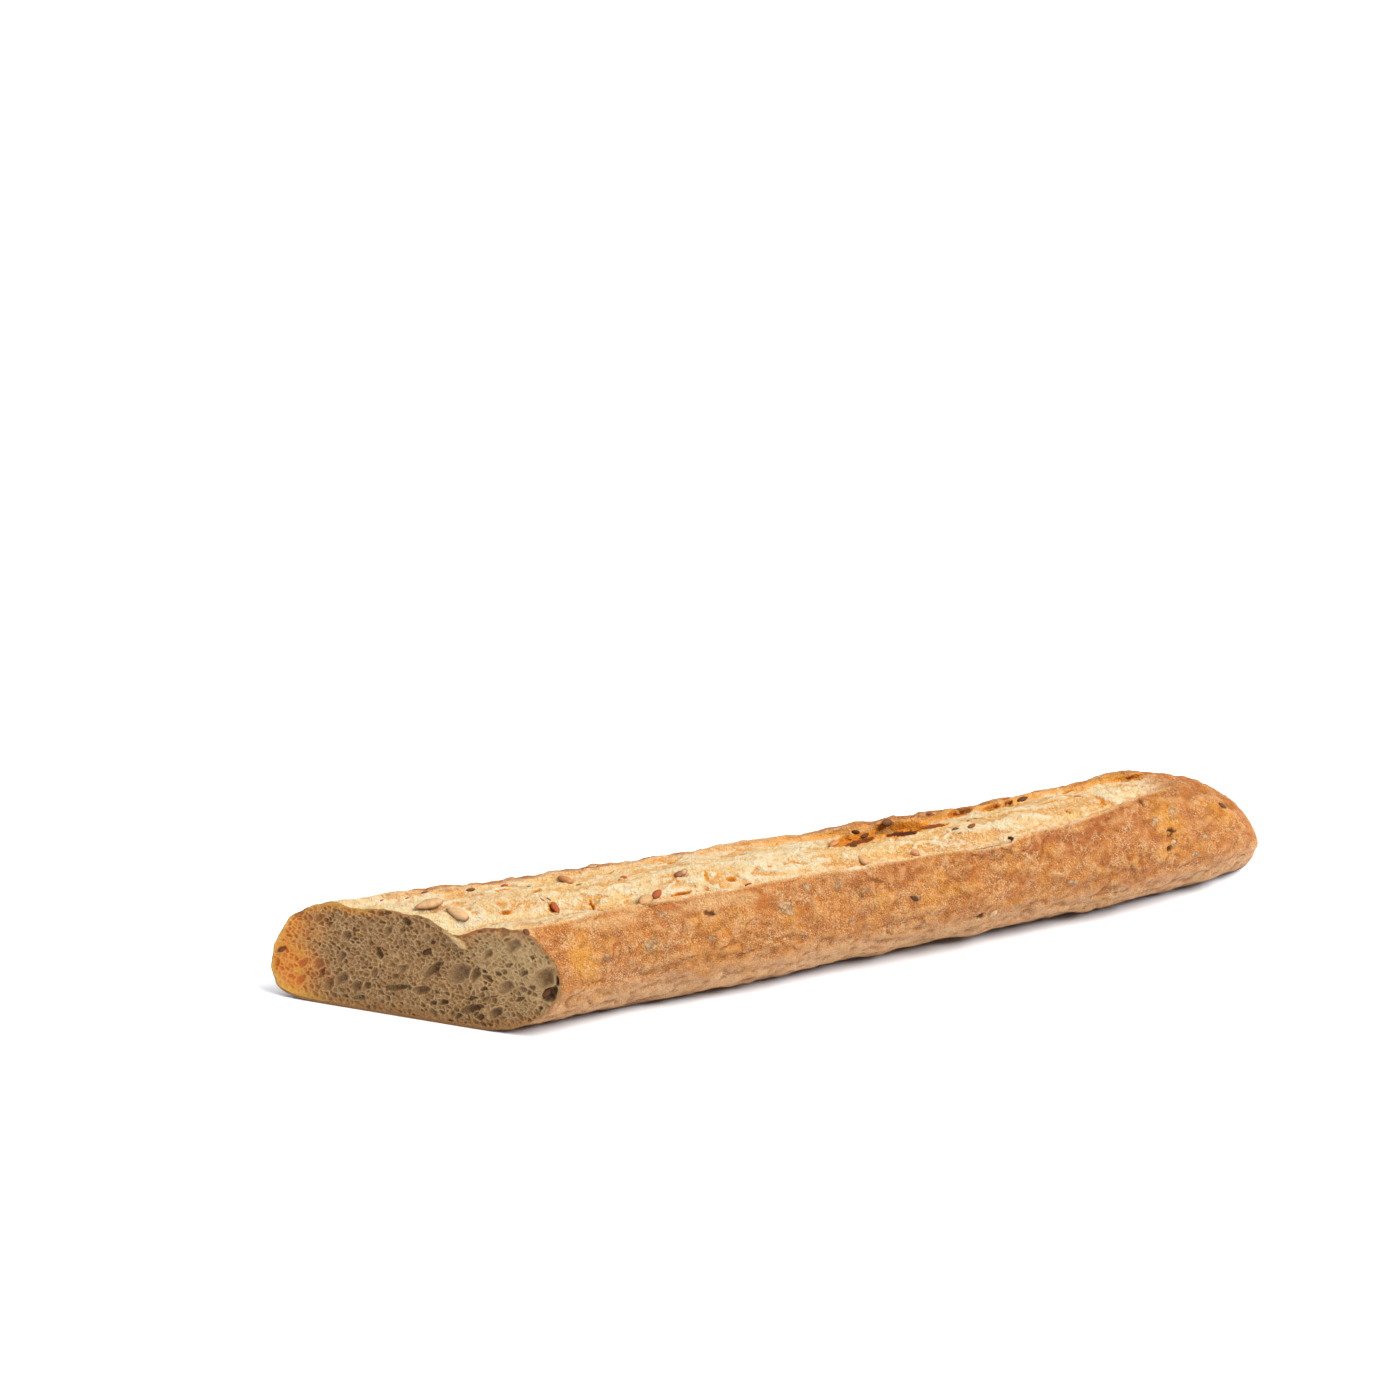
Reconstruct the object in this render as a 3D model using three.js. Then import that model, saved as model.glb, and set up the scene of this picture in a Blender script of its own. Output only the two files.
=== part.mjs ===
// A seeded baguette with a bias-cut end, as one solid, in millimetres with +Z up.
// The loaf lies along X on its flat base. The bias cut is at the -X end, and the rounded end of
// the crust is at +X. The near side of the loaf is -Y and its far side is +Y. The origin is on
// the base, under the middle of the loaf's box.

import * as THREE from 'three';

// Driving dimensions. A place along the loaf is counted from the middle of the cut.
const LOAF_LENGTH = 381;         // from the sharp tip of the bias cut to the rounded end
const LOAF_WIDTH = 70;           // across the bulges of the sides, at the cut
const LIP_HEIGHT = 43;           // from the base to the crust lips
const CUT_ANGLE = 38.7;          // degrees between the bias cut and the loaf's axis

const NEAR_BULGE_HEIGHT = 23;    // where the near side stands furthest out
const FAR_BULGE_HEIGHT = 13;     // and the far side
const WANDER = 0.8;              // how far the lips, sides and base wander along the loaf

// The score down the back, which opened in the oven into a pale band between two crust lips.
const GROOVE_DEPTH = 4;          // of the trough inside the near lip
const SEAM_DEPTH = 1.4;          // of the narrow seam under the far lip
const LIP_THICKNESS = 2.4;       // from the top of the far lip to its inner foot
const CROWN_DROP = 0.4;          // how far the crown of the band lies below the lips
const FOLD_PLACE = 220;          // where the near lip ends and the next one starts behind it
const FOLD_REACH = 3;            // how far the first lip stands out before the fold
const FOLD_LENGTH = 24;          // over which it swells out
const EAR_PLACE = 284;           // the torn flap on the far lip, near the rounded end
const EAR_LENGTH = 28;
const EAR_RISE = 2.2;
const CAVE_PLACE = 183;          // the deep tear under the far lip
const CAVE_LENGTH = 38;
const CAVE_DEPTH = 4;

// The rounded end, where the crust closes.
const END_CLOSING = 50;          // length over which it closes
const NOSE_ACROSS = -3;          // the point where it closes: its place across the loaf
const NOSE_HEIGHT = 12;          // and its height
const TOP_ROUNDING = 2.05;       // how bluntly the top closes: 2 is round, more is squarer
const SIDE_ROUNDING = 2.9;       // the sides
const BASE_ROUNDING = 6;         // and the base, which stays flat almost to the end

// The mesh.
const RING_STEP = 4;             // between rings along the straight of the loaf
const END_RINGS = 14;            // rings over the rounded end
const BASE_STEPS = 5;            // steps across the flat base
const SHEAR_FADE = 70;           // length over which rings turn from the bias cut to square
const SETTLE_ROUNDS = 5;         // rounds that settle a slanting ring onto the skin

const CUT_SLANT = 1 / Math.tan(THREE.MathUtils.degToRad(CUT_ANGLE));
const BODY_LENGTH = LOAF_LENGTH - LOAF_WIDTH / 2 * CUT_SLANT;  // from the middle of the cut

// A smooth line along the loaf through a few stations, each with its place and its value.
function alongLoaf(stations) {
  const places = stations.map(([place]) => place);
  const values = stations.map(([, value]) => value);
  const curve = new THREE.CubicInterpolant(places, values, 1);
  return (place) => curve.evaluate(place)[0];
}

// Where the edges of the section lie across the loaf.
const nearBase = alongLoaf([[20, -18], [110, -18], [180, -13.5], [280, -9.5], [330, -5]]);
const nearBulge = alongLoaf([[40, -35], [80, -32.5], [150, -31.5], [230, -30], [290, -25],
  [330, -20]]);
const nearLip = alongLoaf([[30, -26], [55, -24], [205, -24], [235, -22.5], [268, -14], [300, -3]]);
const trough = alongLoaf([[20, -8], [45, -11], [75, -16], [200, -18], [235, -16.5], [268, -8],
  [300, 1]]);
const farLip = alongLoaf([[-25, 18.8], [0, 15.8], [35, 12.3], [100, 11.2], [160, 9.8], [210, 8.2],
  [245, 10], [283, 10.5], [305, 9]]);
const farBulge = alongLoaf([[-44, 35], [0, 34], [60, 31.5], [150, 29], [250, 26.5], [330, 21]]);
const farBase = alongLoaf([[-44, 29], [0, 28], [60, 25.5], [150, 23], [250, 21], [330, 16]]);

// How high the far lip stands, and how far the score is open: it closes before the rounded end.
const farLipHeight = alongLoaf([[-25, 43.2], [40, 42.4], [210, 42.4], [300, 43]]);
const opening = alongLoaf([[0, 1], [230, 1], [270, 0.8], [300, 0.15], [315, 0]]);

// A gentle wander from side to side, of a given period.
function wander(place, period, start) {
  const turn = (place / period + start) * 2 * Math.PI;
  return WANDER * (0.65 * Math.sin(turn) + 0.35 * Math.sin(turn * 2.3 + 1));
}

// A rounded rise of 1 over a length of the loaf, for the torn flap and the deep tear.
function rise(place, middle, length) {
  const reach = (place - middle) / (length / 2);
  return Math.exp(-reach * reach);
}

// How far the near lip stands out before the fold where the next lip starts behind it.
function fold(place) {
  const swell = THREE.MathUtils.smoothstep(place, FOLD_PLACE - FOLD_LENGTH, FOLD_PLACE);
  const step = THREE.MathUtils.smoothstep(place, FOLD_PLACE, FOLD_PLACE + RING_STEP);
  return FOLD_REACH * (swell - step);
}

// The cross-section at a place along the loaf, as stretches of points (across, up). They run
// from the near edge of the base, up the near side, over the band and down the far side.
// Each stretch says how many steps the mesh takes from one of its points to the next.
function sectionStretches(place) {
  const point = (across, up) => new THREE.Vector3(across, up, 0);
  const mix = THREE.MathUtils.lerp;
  const open = opening(place);
  const base = { near: nearBase(place) + wander(place, 47, 0.1), far: farBase(place) };
  const bulge = { near: nearBulge(place) + wander(place, 83, 0.4), far: farBulge(place) };
  const lip = { near: nearLip(place) + wander(place, 52, 0.7) - fold(place), far: farLip(place) };
  const foot = trough(place);
  const seam = lip.far - LIP_THICKNESS;
  const crown = mix(foot, seam, 0.55);
  const seamDepth = SEAM_DEPTH + CAVE_DEPTH * rise(place, CAVE_PLACE, CAVE_LENGTH);
  const nearTop = LIP_HEIGHT + wander(place, 39, 0.5) * 0.4;
  const farTop = farLipHeight(place) + EAR_RISE * rise(place, EAR_PLACE, EAR_LENGTH)
    + wander(place, 61, 0.2) * 0.5;
  const nearSide = {
    steps: 3,
    points: [
      point(base.near, 0),
      point(mix(base.near, bulge.near, 0.64), NEAR_BULGE_HEIGHT * 0.36),
      point(bulge.near, NEAR_BULGE_HEIGHT),
      point(mix(bulge.near, lip.near, 0.4), mix(NEAR_BULGE_HEIGHT, nearTop, 0.72)),
    ],
  };
  const band = {
    steps: 2,
    points: [
      point(lip.near, nearTop),
      point(mix(lip.near, foot, 0.35), nearTop - GROOVE_DEPTH * 0.3 * open),
      point(foot, LIP_HEIGHT - GROOVE_DEPTH * open),
      point(mix(foot, crown, 0.5), LIP_HEIGHT - mix(GROOVE_DEPTH, CROWN_DROP, 0.8) * open),
      point(crown, LIP_HEIGHT - CROWN_DROP),
      point(mix(crown, seam, 0.6), LIP_HEIGHT - mix(seamDepth, CROWN_DROP, 0.55) * open),
      point(seam, LIP_HEIGHT - seamDepth * open),
    ],
  };
  const farSide = {
    steps: 2,
    points: [
      point(lip.far, farTop),
      point(mix(lip.far, bulge.far, 0.56), mix(farTop, FAR_BULGE_HEIGHT, 0.21)),
      point(mix(lip.far, bulge.far, 0.84), mix(farTop, FAR_BULGE_HEIGHT, 0.55)),
      point(bulge.far, FAR_BULGE_HEIGHT),
      point(mix(bulge.far, base.far, 0.3), FAR_BULGE_HEIGHT * 0.3),
      point(base.far, 0),
    ],
  };
  return [nearSide, band, farSide];
}

// The cross-section as one closed ring: the curved skin, then the flat base back to its start.
function sectionRing(place) {
  const stretches = sectionStretches(place);
  const points = stretches.flatMap((stretch) => stretch.points);
  const steps = stretches.flatMap((stretch) => stretch.points.map(() => stretch.steps));
  const skin = new THREE.CatmullRomCurve3(points, false, 'centripetal');
  const last = points.length - 1;
  const ring = [];
  for (let passed = 0; passed < last; passed += 1) {
    for (let step = 0; step < steps[passed]; step += 1) {
      ring.push(skin.getPoint((passed + step / steps[passed]) / last));
    }
  }
  for (let step = 0; step < BASE_STEPS; step += 1) {
    ring.push(new THREE.Vector3().lerpVectors(points[last], points[0], step / BASE_STEPS));
  }
  return ring;
}

// Draws a point of the section in towards the nose, as the crust closes at the rounded end.
function closeTowardsNose(across, up, place) {
  const share = THREE.MathUtils.clamp((place - BODY_LENGTH + END_CLOSING) / END_CLOSING, 0, 1);
  const keep = (rounding) => (1 - share ** rounding) ** (1 / rounding);
  const upKeep = up > NOSE_HEIGHT ? keep(TOP_ROUNDING) : keep(BASE_ROUNDING);
  return [
    NOSE_ACROSS + (across - NOSE_ACROSS) * keep(SIDE_ROUNDING),
    NOSE_HEIGHT + (up - NOSE_HEIGHT) * upKeep,
  ];
}

// One ring of the mesh. At the cut the ring lies in the plane of the bias cut, and further
// along it turns square to the loaf. Each point takes the section at its own place.
function loafRing(ringPlace) {
  const slant = CUT_SLANT * (1 - THREE.MathUtils.smoothstep(ringPlace, 0, SHEAR_FADE));
  return sectionRing(ringPlace).map((start, column) => {
    let place = ringPlace;
    let spot = start;
    for (let round = 0; round < SETTLE_ROUNDS && slant > 0; round += 1) {
      place = ringPlace - spot.x * slant;
      spot = sectionRing(place)[column];
    }
    const [across, up] = closeTowardsNose(spot.x, spot.y, place);
    return new THREE.Vector3(place, across, up);
  });
}

// The places of the rings, which draw closer together as the end closes.
function ringPlaces() {
  const straight = BODY_LENGTH - END_CLOSING;
  const count = Math.round(straight / RING_STEP);
  const places = [];
  for (let ring = 0; ring < count; ring += 1) {
    places.push(straight * ring / count);
  }
  for (let ring = 0; ring < END_RINGS; ring += 1) {
    places.push(straight + END_CLOSING * Math.sin(ring / END_RINGS * Math.PI / 2));
  }
  return places;
}

function loafGeometry() {
  const rings = ringPlaces().map(loafRing);
  const columns = rings[0].length;
  const positions = rings.flat();
  const faces = [];

  // The skin and the base, between each ring and the next.
  for (let ring = 0; ring + 1 < rings.length; ring += 1) {
    for (let column = 0; column < columns; column += 1) {
      const beside = (column + 1) % columns;
      const here = ring * columns;
      const ahead = here + columns;
      faces.push(here + column, ahead + column, here + beside);
      faces.push(here + beside, ahead + column, ahead + beside);
    }
  }

  // The bias cut: the first ring's outline, filled flat.
  const outline = rings[0].map((spot) => new THREE.Vector2(spot.y, spot.z));
  for (const [a, b, c] of THREE.ShapeUtils.triangulateShape(outline, [])) {
    faces.push(a, c, b);
  }

  // The rounded end: the last ring closes on the nose.
  const lastRing = (rings.length - 1) * columns;
  const nose = positions.push(new THREE.Vector3(BODY_LENGTH, NOSE_ACROSS, NOSE_HEIGHT)) - 1;
  for (let column = 0; column < columns; column += 1) {
    faces.push(lastRing + column, nose, lastRing + (column + 1) % columns);
  }

  const geometry = new THREE.BufferGeometry().setFromPoints(positions);
  geometry.setIndex(faces);
  geometry.computeVertexNormals();

  // The origin goes under the middle of the loaf's box.
  geometry.computeBoundingBox();
  const middle = geometry.boundingBox.getCenter(new THREE.Vector3());
  geometry.translate(-middle.x, -middle.y, 0);
  return geometry;
}

const crust = new THREE.MeshStandardMaterial({ color: 0xd1975a, roughness: 0.8, metalness: 0 });

const loaf = new THREE.Mesh(loafGeometry(), crust);
loaf.name = 'loaf';

const baguette = new THREE.Group();
baguette.add(loaf);

export default baguette;
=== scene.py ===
import math

import bpy
import numpy as np
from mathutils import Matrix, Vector, noise
from mathutils.geometry import delaunay_2d_cdt
from mathutils.kdtree import KDTree


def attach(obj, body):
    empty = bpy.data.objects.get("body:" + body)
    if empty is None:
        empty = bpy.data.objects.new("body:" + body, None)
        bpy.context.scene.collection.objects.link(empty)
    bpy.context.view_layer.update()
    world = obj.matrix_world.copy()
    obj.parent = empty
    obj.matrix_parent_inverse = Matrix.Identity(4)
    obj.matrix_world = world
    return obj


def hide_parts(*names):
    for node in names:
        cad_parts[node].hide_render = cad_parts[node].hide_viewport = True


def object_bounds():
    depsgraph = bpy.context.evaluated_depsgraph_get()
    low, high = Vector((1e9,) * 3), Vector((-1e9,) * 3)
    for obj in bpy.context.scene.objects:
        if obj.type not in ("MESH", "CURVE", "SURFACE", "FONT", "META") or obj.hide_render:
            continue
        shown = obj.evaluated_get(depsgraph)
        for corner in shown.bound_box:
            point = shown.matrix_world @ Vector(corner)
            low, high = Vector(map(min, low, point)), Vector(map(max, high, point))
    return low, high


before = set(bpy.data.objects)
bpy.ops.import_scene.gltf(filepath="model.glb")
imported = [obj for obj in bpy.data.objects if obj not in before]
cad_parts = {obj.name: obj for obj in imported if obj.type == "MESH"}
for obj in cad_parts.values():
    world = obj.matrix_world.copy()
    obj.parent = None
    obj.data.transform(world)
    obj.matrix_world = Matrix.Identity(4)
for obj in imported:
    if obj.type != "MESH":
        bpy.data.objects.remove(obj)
cad_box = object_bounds()

# ---------------------------------------------------------------------------------------------
# The table, the light and the camera. The loaf lies on a plain white table. A large soft light
# stands high to the right in front, so that the cut end, which faces left, stays in soft shade,
# and weaker ones fill in from above and from behind. Shapes are worked out in millimetres.
MM = 0.001
CUT_ANGLE = math.radians(38.7)              # between the bias cut and the loaf's length
CUT_SLANT = 1 / math.tan(CUT_ANGLE)
HALF_WIDTH = 35                             # of the loaf, over its bulges at the cut
CUT_MIDDLE = cad_box[0][0] / MM + HALF_WIDTH * CUT_SLANT   # the middle of the cut, along X
BODY_LENGTH = cad_box[1][0] / MM - CUT_MIDDLE              # from there to the rounded end
SIDE_SHIFT = cad_box[1][1] / MM - HALF_WIDTH
TO_FRAME = np.array((CUT_MIDDLE, SIDE_SHIFT, 0))           # from the loaf's own millimetres

LENS, SENSOR_WIDTH = 79.7, 36
CAMERA_ALONG, CAMERA_ACROSS, CAMERA_HEIGHT = -247.7, -937.3, 556.2   # from the middle of the cut
CAMERA_DOWN, CAMERA_TURN = 24.1, -20.8
camera_data = bpy.data.cameras.new("camera")
camera_data.sensor_width = SENSOR_WIDTH
camera_data.lens = LENS
camera = bpy.data.objects.new("camera", camera_data)
camera.location = Vector((CUT_MIDDLE + CAMERA_ALONG, CAMERA_ACROSS, CAMERA_HEIGHT)) * MM
camera.rotation_euler = (math.radians(90 - CAMERA_DOWN), 0, math.radians(CAMERA_TURN))
bpy.context.scene.collection.objects.link(camera)
bpy.context.scene.camera = camera
bpy.context.view_layer.update()

TABLE_REACH = 12
TABLE_COLOUR, TABLE_ROUGHNESS = (0.88, 0.89, 0.92, 1), 0.6
table_look = bpy.data.materials.new("white table")
table_look.use_nodes = True
table_shader = table_look.node_tree.nodes["Principled BSDF"]
table_shader.inputs["Base Color"].default_value = TABLE_COLOUR
table_shader.inputs["Roughness"].default_value = TABLE_ROUGHNESS
table_mesh = bpy.data.meshes.new("table")
table_mesh.from_pydata(
    [(x * TABLE_REACH, y * TABLE_REACH, 0) for x, y in ((-1, -1), (1, -1), (1, 1), (-1, 1))],
    [], [(0, 1, 2, 3)])
table_mesh.materials.append(table_look)
table = bpy.data.objects.new("table", table_mesh)
bpy.context.scene.collection.objects.link(table)


def soft_light(name, place, spread, strength):
    """Light from a wide even source far off, in the direction of this place. Spread is how many
    degrees of the sky it takes up."""
    lamp = bpy.data.lights.new(name, "SUN")
    lamp.energy = strength
    lamp.angle = math.radians(spread)
    light = bpy.data.objects.new(name, lamp)
    light.location = place
    light.rotation_euler = Vector(place).to_track_quat("Z", "Y").to_euler()
    bpy.context.scene.collection.objects.link(light)


soft_light("key light", (0.5, -0.5, 0.75), 36, 5.5)
soft_light("light above", (0, 0.1, 1), 60, 1.9)
soft_light("light behind", (-0.25, 0.6, 0.76), 50, 0.3)

world = bpy.data.worlds.new("studio")
world.use_nodes = True
backdrop = world.node_tree.nodes["Background"]
backdrop.inputs["Color"].default_value = (1, 1, 1, 1)
backdrop.inputs["Strength"].default_value = 0.15
bpy.context.scene.world = world
bpy.context.scene.view_settings.view_transform = "Standard"

# ---------------------------------------------------------------------------------------------
# The crust: one closed skin over the whole loaf, baked hard and golden outside. It is lofted
# through the loaf's cross-sections, from the bias cut to the rounded end, and the opened score
# runs down its back as a band between two lips. Each section is a ring of corners joined by a
# smooth curve, and the flat base closes it.
LIP_HEIGHT = 43
NEAR_BULGE_HEIGHT, FAR_BULGE_HEIGHT = 23, 13
GROOVE_DEPTH, SEAM_DEPTH = 4, 1.4
LIP_THICKNESS, CROWN_DROP = 2.4, 0.4
WANDER = 0.8
FOLD_PLACE, FOLD_REACH, FOLD_LENGTH, FOLD_STEP = 220, 3, 24, 4
EAR_PLACE, EAR_REACH, EAR_RISE = 284, 14, 2.2
CAVE_PLACE, CAVE_REACH, CAVE_DEPTH = 183, 19, 4
END_CLOSING, NOSE_ACROSS, NOSE_HEIGHT = 50, -3, 12
TOP_ROUNDING, SIDE_ROUNDING, BASE_ROUNDING = 2.05, 2.9, 6
SHEAR_FADE, SETTLE_ROUNDS = 70, 4


def mix(start, end, share):
    return start + (end - start) * share


def smooth(value, low, high):
    """Rises smoothly from 0 at low to 1 at high."""
    share = np.clip((value - low) / (high - low), 0, 1)
    return share * share * (3 - 2 * share)


def bend(start, leaving, end, arriving, share):
    """A cubic curve from start to end, leaving and arriving with these slopes."""
    return ((1 + 2 * share) * (1 - share) ** 2 * start + share * (1 - share) ** 2 * leaving
            + share ** 2 * (3 - 2 * share) * end + share ** 2 * (share - 1) * arriving)


def along_loaf(*stations):
    """A smooth line along the loaf through a few stations, each a place and its value."""
    places, values = np.array(stations, float).T
    rises = np.diff(values) / np.diff(places)
    slopes = (np.append(rises[0], rises) + np.append(rises, rises[-1])) / 2

    def line(place):
        place = np.clip(place, places[0], places[-1])
        step = np.clip(np.searchsorted(places, place, side="right") - 1, 0, len(places) - 2)
        gap = places[step + 1] - places[step]
        return bend(values[step], slopes[step] * gap, values[step + 1], slopes[step + 1] * gap,
                    (place - places[step]) / gap)

    return line


near_base = along_loaf((20, -18), (110, -18), (180, -13.5), (280, -9.5), (330, -5))
near_bulge = along_loaf((40, -35), (80, -32.5), (150, -31.5), (230, -30), (290, -25), (330, -20))
near_lip = along_loaf((30, -26), (55, -24), (205, -24), (235, -22.5), (268, -14), (300, -3))
trough = along_loaf((20, -8), (45, -11), (75, -16), (200, -18), (235, -16.5), (268, -8), (300, 1))
far_lip = along_loaf((-25, 18.8), (0, 15.8), (35, 12.3), (100, 11.2), (160, 9.8), (210, 8.2),
                     (245, 10), (283, 10.5), (305, 9))
far_bulge = along_loaf((-44, 35), (0, 34), (60, 31.5), (150, 29), (250, 26.5), (330, 21))
far_base = along_loaf((-44, 29), (0, 28), (60, 25.5), (150, 23), (250, 21), (330, 16))
far_lip_height = along_loaf((-25, 43.2), (40, 42.4), (210, 42.4), (300, 43))
opening = along_loaf((0, 1), (230, 1), (270, 0.8), (300, 0.15), (315, 0))


def wander(place, period, start):
    turn = (place / period + start) * 2 * math.pi
    return WANDER * (0.65 * np.sin(turn) + 0.35 * np.sin(turn * 2.3 + 1))


def hump(value, middle, reach):
    """1 in the middle, and fading evenly both ways, to a third at this reach."""
    return np.exp(-((value - middle) / reach) ** 2)


def section_corners(place):
    """The section's corners (across, up) at each place, from the near edge of the base, up the
    near side, over the band and down the far side."""
    half_open = opening(place)
    base = near_base(place) + wander(place, 47, 0.1), far_base(place)
    bulge = near_bulge(place) + wander(place, 83, 0.4), far_bulge(place)
    fold = FOLD_REACH * (smooth(place, FOLD_PLACE - FOLD_LENGTH, FOLD_PLACE)
                         - smooth(place, FOLD_PLACE, FOLD_PLACE + FOLD_STEP))
    lip = near_lip(place) + wander(place, 52, 0.7) - fold, far_lip(place)
    foot = trough(place)
    seam = lip[1] - LIP_THICKNESS
    crown = mix(foot, seam, 0.55)
    seam_depth = SEAM_DEPTH + CAVE_DEPTH * hump(place, CAVE_PLACE, CAVE_REACH)
    near_top = LIP_HEIGHT + wander(place, 39, 0.5) * 0.4
    far_top = (far_lip_height(place) + EAR_RISE * hump(place, EAR_PLACE, EAR_REACH)
               + wander(place, 61, 0.2) * 0.5)
    low = np.zeros_like(place)
    corners = [
        (base[0], low),
        (mix(base[0], bulge[0], 0.64), low + NEAR_BULGE_HEIGHT * 0.36),
        (bulge[0], low + NEAR_BULGE_HEIGHT),
        (mix(bulge[0], lip[0], 0.4), mix(NEAR_BULGE_HEIGHT, near_top, 0.72)),
        (lip[0], near_top),
        (mix(lip[0], foot, 0.35), near_top - GROOVE_DEPTH * 0.3 * half_open),
        (foot, LIP_HEIGHT - GROOVE_DEPTH * half_open),
        (mix(foot, crown, 0.5), LIP_HEIGHT - mix(GROOVE_DEPTH, CROWN_DROP, 0.8) * half_open),
        (crown, low + LIP_HEIGHT - CROWN_DROP),
        (mix(crown, seam, 0.6), LIP_HEIGHT - mix(seam_depth, CROWN_DROP, 0.55) * half_open),
        (seam, LIP_HEIGHT - seam_depth * half_open),
        (lip[1], far_top),
        (mix(lip[1], bulge[1], 0.56), mix(far_top, FAR_BULGE_HEIGHT, 0.21)),
        (mix(lip[1], bulge[1], 0.84), mix(far_top, FAR_BULGE_HEIGHT, 0.55)),
        (bulge[1], low + FAR_BULGE_HEIGHT),
        (mix(bulge[1], base[1], 0.3), low + FAR_BULGE_HEIGHT * 0.3),
        (base[1], low),
    ]
    return np.stack([np.stack(corner, -1) for corner in corners], -2)


NEAR_LIP, FAR_LIP, LAST_CORNER = 4, 11, 16


def section_spot(place, walk):
    """The spot (across, up) on the section at each place. walk counts corners on the way
    round, and past the last corner it crosses the flat base."""
    corners = section_corners(place)
    first = 2 * corners[:, :1] - corners[:, 1:2]
    after = 2 * corners[:, -1:] - corners[:, -2:-1]
    padded = np.concatenate([first, corners, after], 1)
    row = np.arange(len(place))
    step = np.minimum(walk.astype(int), LAST_CORNER - 1)
    four = [padded[row, step + turn] for turn in range(4)]
    gaps = [np.sqrt(np.linalg.norm(b - a, axis=1, keepdims=True) + 1e-9)
            for a, b in zip(four, four[1:])]
    leaving, arriving = (
        gaps[1] * ((b - a) / before - (c - a) / (before + behind) + (c - b) / behind)
        for a, b, c, before, behind in ((*four[:3], *gaps[:2]), (*four[1:], *gaps[1:])))
    share = (walk - step)[:, None]
    skin = bend(four[1], leaving, four[2], arriving, share)
    base = mix(corners[:, LAST_CORNER], corners[:, 0], (walk - LAST_CORNER)[:, None])
    return np.where(walk[:, None] > LAST_CORNER, base, skin)


def loaf_spots(ring_place, walk):
    """Spots on the plain loaf. A ring lies in the plane of the bias cut at the cut, and turns
    square to the loaf further along. The rings close on the nose at the rounded end."""
    slant = CUT_SLANT * (1 - smooth(ring_place, 0, SHEAR_FADE))
    place = ring_place
    spot = section_spot(place, walk)
    for _ in range(SETTLE_ROUNDS):
        place = ring_place - spot[:, 0] * slant
        spot = section_spot(place, walk)
    closing = np.clip((place - BODY_LENGTH + END_CLOSING) / END_CLOSING, 0, 1)
    side, top, base = ((1 - closing ** rounding) ** (1 / rounding)
                       for rounding in (SIDE_ROUNDING, TOP_ROUNDING, BASE_ROUNDING))
    across = NOSE_ACROSS + (spot[:, 0] - NOSE_ACROSS) * side
    up = NOSE_HEIGHT + (spot[:, 1] - NOSE_HEIGHT) * np.where(spot[:, 1] > NOSE_HEIGHT, top, base)
    return np.stack([place, across, up], -1)


# The skin's grid: rings along the loaf, and columns round it that lie closer where it shows.
RING_STEP, END_RINGS = 0.8, 74
COLUMN_STEPS = ((NEAR_LIP - 0.4, 0.78), (NEAR_LIP + 0.7, 0.34), (FAR_LIP, 0.58), (LAST_CORNER, 1.15),
                (LAST_CORNER + 1, 3.6))
TRIAL_PLACE, TRIAL_MARKS = 120, 2000


def column_walks():
    trial = np.linspace(0, LAST_CORNER + 1, TRIAL_MARKS)
    ring = loaf_spots(np.full_like(trial, TRIAL_PLACE), trial)
    walked = np.concatenate([[0], np.cumsum(np.linalg.norm(np.diff(ring, axis=0), axis=1))])
    walks, start = [], 0
    for end, step in COLUMN_STEPS:
        begin, finish = np.interp((start, end), trial, walked)
        marks = np.linspace(begin, finish, round((finish - begin) / step), endpoint=False)
        walks.append(np.interp(marks, walked, trial))
        start = end
    return np.concatenate(walks)


walks = column_walks()
straight = BODY_LENGTH - END_CLOSING
ring_places = np.concatenate([
    np.linspace(0, straight, round(straight / RING_STEP), endpoint=False),
    straight + END_CLOSING * np.sin(np.arange(END_RINGS) / END_RINGS * math.pi / 2)])
rings, columns = len(ring_places), len(walks)
skin = loaf_spots(np.repeat(ring_places, columns), np.tile(walks, rings))
skin = skin.reshape(rings, columns, 3)

outward = np.cross(np.gradient(skin, axis=0), np.roll(skin, -1, 1) - np.roll(skin, 1, 1))
outward /= np.linalg.norm(outward, axis=2, keepdims=True) + 1e-9

# Spots of the skin are found by where the camera sees them, across and down in its frame.
FRAME = 1400
FOCUS = FRAME * camera_data.lens / SENSOR_WIDTH
SIGHT_RIGHT, SIGHT_UP, SIGHT_BACK = np.array(camera.matrix_world.to_3x3()).T
CAMERA_SPOT = np.array(camera.location) / MM - TO_FRAME


def seen_at(spots):
    away = spots - CAMERA_SPOT
    far = -(away @ SIGHT_BACK)
    return (FRAME / 2 + FOCUS * (away @ SIGHT_RIGHT) / far,
            FRAME / 2 - FOCUS * (away @ SIGHT_UP) / far, far)


flat_skin, flat_outward = skin.reshape(-1, 3), outward.reshape(-1, 3)
skin_across, skin_down, skin_far = seen_at(flat_skin)
faces_camera = np.einsum("ij,ij->i", flat_outward, CAMERA_SPOT - flat_skin) > 0
skin_tree = KDTree(len(flat_skin))
for index, spot in enumerate(flat_skin.tolist()):
    skin_tree.insert(spot, index)
skin_tree.balance()


def skin_corner(across, down):
    """The skin's corner that the camera sees at this spot of its frame."""
    miss = np.hypot(skin_across - across, skin_down - down) + skin_far * 0.05
    return int(np.argmin(np.where(faces_camera, miss, np.inf)))


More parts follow.
